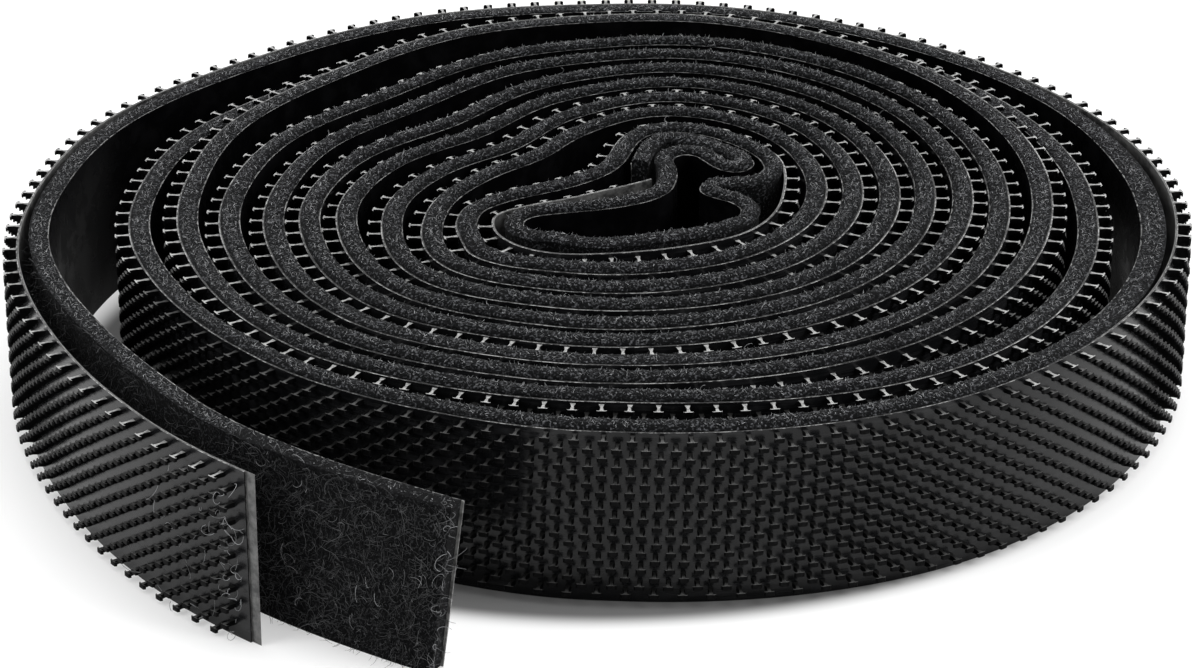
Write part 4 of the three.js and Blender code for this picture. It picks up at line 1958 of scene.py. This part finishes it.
    def _crown_rise(self, turn: Array) -> Array:
        """How far the pile stands over its slit edge: most in the inner turns and at the front.

        Args:
            turn: Places on the winding.

        Returns:
            The rise at each.
        """
        low, high = self.crown_rise
        inner = 1 - smooth_step(turn, *self.crown_fade)
        front = smooth_step(-np.sin(WHOLE_TURN * turn), *self.crown_front) * (turn > 1)
        parted = np.interp(turn, self.parted_turn, (0.0, 1.0, 0.0))
        free = smooth_step(turn - self.winding.hook_turns, *self.crown_free)
        rise = low + (high - low) * np.maximum(inner, front) * (1 - self.flattened * parted)
        return rise * (1 - free) + self.free_rise * free

    def _fibres(self) -> list[bpy.types.Object]:
        """Fibres drawn out of the pile at its edges and on the faces that stand free, and lint.

        Returns:
            The pieces.
        """
        rng = np.random.default_rng(self.fibre_seed)
        split = self.bend.split
        pieces = []
        for name, first, last, seed in self.edge_thirds:
            runs = (first * split, last * split)
            pieces.append(self._edge_fibres(name, runs, Stretch.COIL, rng, np.random.default_rng(seed)))
        parted = self.line.run_at(self.winding.hook_turns - self.face_fibres_from)
        pieces.append(self._face_fibres("last_turn", (parted, split), Stretch.COIL, rng))
        pieces.append(self._face_fibres("free_end", (split, self.last), Stretch.END, rng))
        pieces.append(self._end_lint(rng))
        pieces.append(self._edge_fibres("free_end", (split, self.last), Stretch.END, rng, rng))
        pieces.append(self._coil_lint())
        return pieces

    def _on_fabric(self, run: Array, share: Array) -> tuple[Array, Array, Array, Array]:
        """Places on the fabric.

        Args:
            run: Runs along the tape.
            share: From 0 at the fabric's back to 1 at its face.

        Returns:
            The places seen from above, in the roll's frame, the directions along the tape and
            outwards, and the heights of the tape's lower edge.
        """
        line = self.line
        back, face = line.at(run, self.back.place), line.at(run, self.front.place)
        place = back + (face - back) * share[:, None] + self.winding.centre
        return place, line.at(run, line.along), line.at(run, line.side), line.at(run, self.winding.lift(line))

    def _edge_fibres(
        self,
        name: str,
        runs: Span,
        stretch: Stretch,
        rng: np.random.Generator,
        curl_rng: np.random.Generator,
    ) -> bpy.types.Object:
        """Short fibres along the fabric's slit edges.

        Args:
            name: What they are the edge fibres of.
            runs: Runs between which they stand.
            stretch: The coil or the free end.
            rng: Source of the differences.
            curl_rng: Source of the directions in which they curl.

        Returns:
            The piece.
        """
        kind = int(stretch is Stretch.END)
        strand = END_EDGE_STRAND if kind else EDGE_STRAND
        count = int((runs[1] - runs[0]) / MM * self.edge_density[kind])
        run = rng.uniform(*runs, count)
        upper = rng.uniform(size=count) < self.upper_share[kind]
        share = rng.uniform(*self.edge_inset, count)
        place, along, side, low = self._on_fabric(run, share)
        rise = self._crown_rise(self.line.at(run, self.line.turn))
        rise *= np.interp(share, *np.array(self.crown[::-1]).T)
        height = low + np.where(upper, self.sizes.width + self.edge_root * rise, self.lower_root)
        sideways = rng.normal(0, self.edge_spread, count) * np.where(upper, 1.0, self.lower_spread)
        sideways -= (share - 0.5) * self.edge_pull
        flat = along * rng.normal(0, 1.0, (count, 1)) + side * sideways[:, None]
        way = np.column_stack([flat, np.where(upper, 1.0, -1.0) * rng.uniform(*self.edge_tilt, count)])
        root, cropped = np.column_stack([place, height]), np.where(upper, 1.0, self.lower_crop)
        piece = fibre_mesh(f"pile_edge_fibres_of_{name}", strand, root, way, rng, curl_rng, cropped)
        self.carry(piece, stretch)
        return piece

    def _face_fibres(
        self, name: str, runs: Span, stretch: Stretch, rng: np.random.Generator
    ) -> bpy.types.Object:
        """Long curled fibres on the pile's face.

        Args:
            name: What they are the face fibres of.
            runs: Runs between which they stand.
            stretch: The coil or the free end.
            rng: Source of the differences.

        Returns:
            The piece.
        """
        first, last = runs
        density = self.face_density[int(stretch is Stretch.END)]
        count = int((last - first) * self.sizes.width / MM**2 * density)
        run = rng.uniform(first, last - self.face_margin, count)
        place, along, side, low = self._on_fabric(run, np.full(count, self.face_root))
        height = low + rng.uniform(*self.face_up, count) * self.sizes.width
        swing = rng.uniform(0, WHOLE_TURN, count)
        way = swung(along, side * rng.uniform(*self.face_lean, (count, 1)), swing)
        root = np.column_stack([place, height])
        piece = fibre_mesh(f"pile_face_fibres_of_{name}", FACE_STRAND, root, way, rng)
        self.carry(piece, stretch)
        return piece

    def _end_lint(self, rng: np.random.Generator) -> bpy.types.Object:
        """Pale loops drawn far out of the free end's face, every third one out of its cut end.

        Args:
            rng: Source of the differences.

        Returns:
            The piece.
        """
        count, cut = self.end_lint_count, self.last - self.end_lint_margin
        run = rng.uniform(self.bend.split, cut, count)
        run[::3] = cut
        place, along, side, low = self._on_fabric(run, rng.uniform(*self.end_lint_root, count))
        height = low + rng.uniform(*self.end_lint_up, count) * self.sizes.width
        way = swung(along, side * self.end_lint_lean, rng.uniform(0, WHOLE_TURN, count))
        piece = fibre_mesh("pile_lint_of_free_end", END_LINT, np.column_stack([place, height]), way, rng)
        self.carry(piece, Stretch.END)
        return piece

    def _coil_lint(self) -> bpy.types.Object:
        """Pale curls that lie here and there on the upper edges of the wound pile.

        Returns:
            The piece.
        """
        rng = np.random.default_rng(self.coil_lint_seed)
        count = self.coil_lint_count
        run = self.bend.split * rng.uniform(*self.coil_lint_run, count)
        place, along, side, low = self._on_fabric(run, rng.uniform(*self.coil_lint_root, count))
        rise = self._crown_rise(self.line.at(run, self.line.turn))
        root = np.column_stack([place, low + self.sizes.width + self.coil_lint_up * rise])
        swing = rng.uniform(0, WHOLE_TURN, count)
        flat = along * np.cos(swing)[:, None] + side * self.coil_lint_lean * np.sin(swing)[:, None]
        way = np.column_stack([flat, rng.uniform(*self.coil_lint_tilt, count)])
        piece = fibre_mesh("pile_lint_of_coil", COIL_LINT, root, way, rng)
        self.carry(piece, Stretch.COIL)
        return piece


# The studio


@dataclass(frozen=True)
class Lamp:
    """An area lamp that looks at the roll: where it hangs, its width and height, and its watts."""

    name: str
    place: Triple
    size: Span
    power: float

    def hang(self) -> None:
        """Adds the lamp to the scene."""
        lamp = bpy.data.lights.new(self.name, "AREA")
        lamp.shape = "RECTANGLE"
        lamp.size, lamp.size_y = self.size
        lamp.energy = self.power
        held = bpy.data.objects.new(self.name, lamp)
        held.location = self.place
        held.rotation_euler = (-Vector(self.place)).to_track_quat("-Z", "Y").to_euler()
        bpy.context.scene.collection.objects.link(held)


@dataclass
class Studio:
    """Pale floor, soft lamps and the camera at the photograph's angle."""

    winding: Winding
    eye: Triple = (-0.002, -0.564, 0.2821)
    look: Triple = (-0.002, 0.007, 0.0)
    lens: float = 126.99
    sensor: float = 36.0
    ambient: float = 0.5
    floor_size: float = 6.0
    floor_drop: float = 0.02 * MM
    lamps: tuple[Lamp, ...] = (
        Lamp("left_softbox", (-0.75, -0.35, 0.55), (0.5, 0.7), 4.6),
        Lamp("right_softbox", (0.8, -0.25, 0.6), (0.5, 0.7), 9.0),
        Lamp("top_softbox", (0.0, 0.25, 1.1), (0.9, 0.9), 11.0),
    )

    def build(self) -> None:
        """Sets up the floor, the world, the lamps and the camera."""
        bpy.context.scene.view_settings.view_transform = "Standard"
        self._floor()
        self._world()
        for lamp in self.lamps:
            lamp.hang()
        self._camera()

    def _floor(self) -> None:
        """A wide pale floor just under the roll."""
        bpy.ops.object.select_all(action="DESELECT")
        bpy.ops.mesh.primitive_plane_add(size=self.floor_size, location=(0, 0, -self.floor_drop))
        floor = bpy.context.object
        floor.name = "floor"
        bpy.ops.object.transform_apply(location=True, rotation=False, scale=True)
        Bench.wear(floor, Floor())

    def _world(self) -> None:
        """White where it is seen, and soft light elsewhere."""
        world = bpy.data.worlds.new("studio")
        bpy.context.scene.world = world
        shader = Shader(world)
        white = (1.0, 1.0, 1.0, 1.0)
        light = shader.node("Background", inputs={"Color": white, "Strength": self.ambient})
        seen = shader.node("Background", inputs={"Color": white, "Strength": 1.0})
        both = shader.node("MixShader", inputs={0: seen_ray(shader), 1: light, 2: seen})
        shader.node("OutputWorld", inputs={"Surface": both})

    def _camera(self) -> None:
        """The camera of the photograph, placed about the winding's centre."""
        camera = bpy.data.cameras.new("camera")
        camera.lens = self.lens
        camera.sensor_width = self.sensor
        held = bpy.data.objects.new("camera", camera)
        held.location = Vector((*self.winding.centre, 0.0)) + Vector(self.eye)
        held.rotation_euler = (Vector(self.look) - Vector(self.eye)).to_track_quat("-Z", "Y").to_euler()
        bpy.context.scene.collection.objects.link(held)
        bpy.context.scene.camera = held


def main() -> None:
    """Builds the tapes and the studio in order."""
    logging.basicConfig(level=logging.INFO, format="%(message)s")
    winding = Winding()
    for tape in (HookTape(winding), LoopTape(winding)):
        for piece in tape.build():
            log.info("%s: %d faces", piece.name, len(piece.data.polygons))
    Studio(winding).build()


if __name__ == "__main__":
    main()
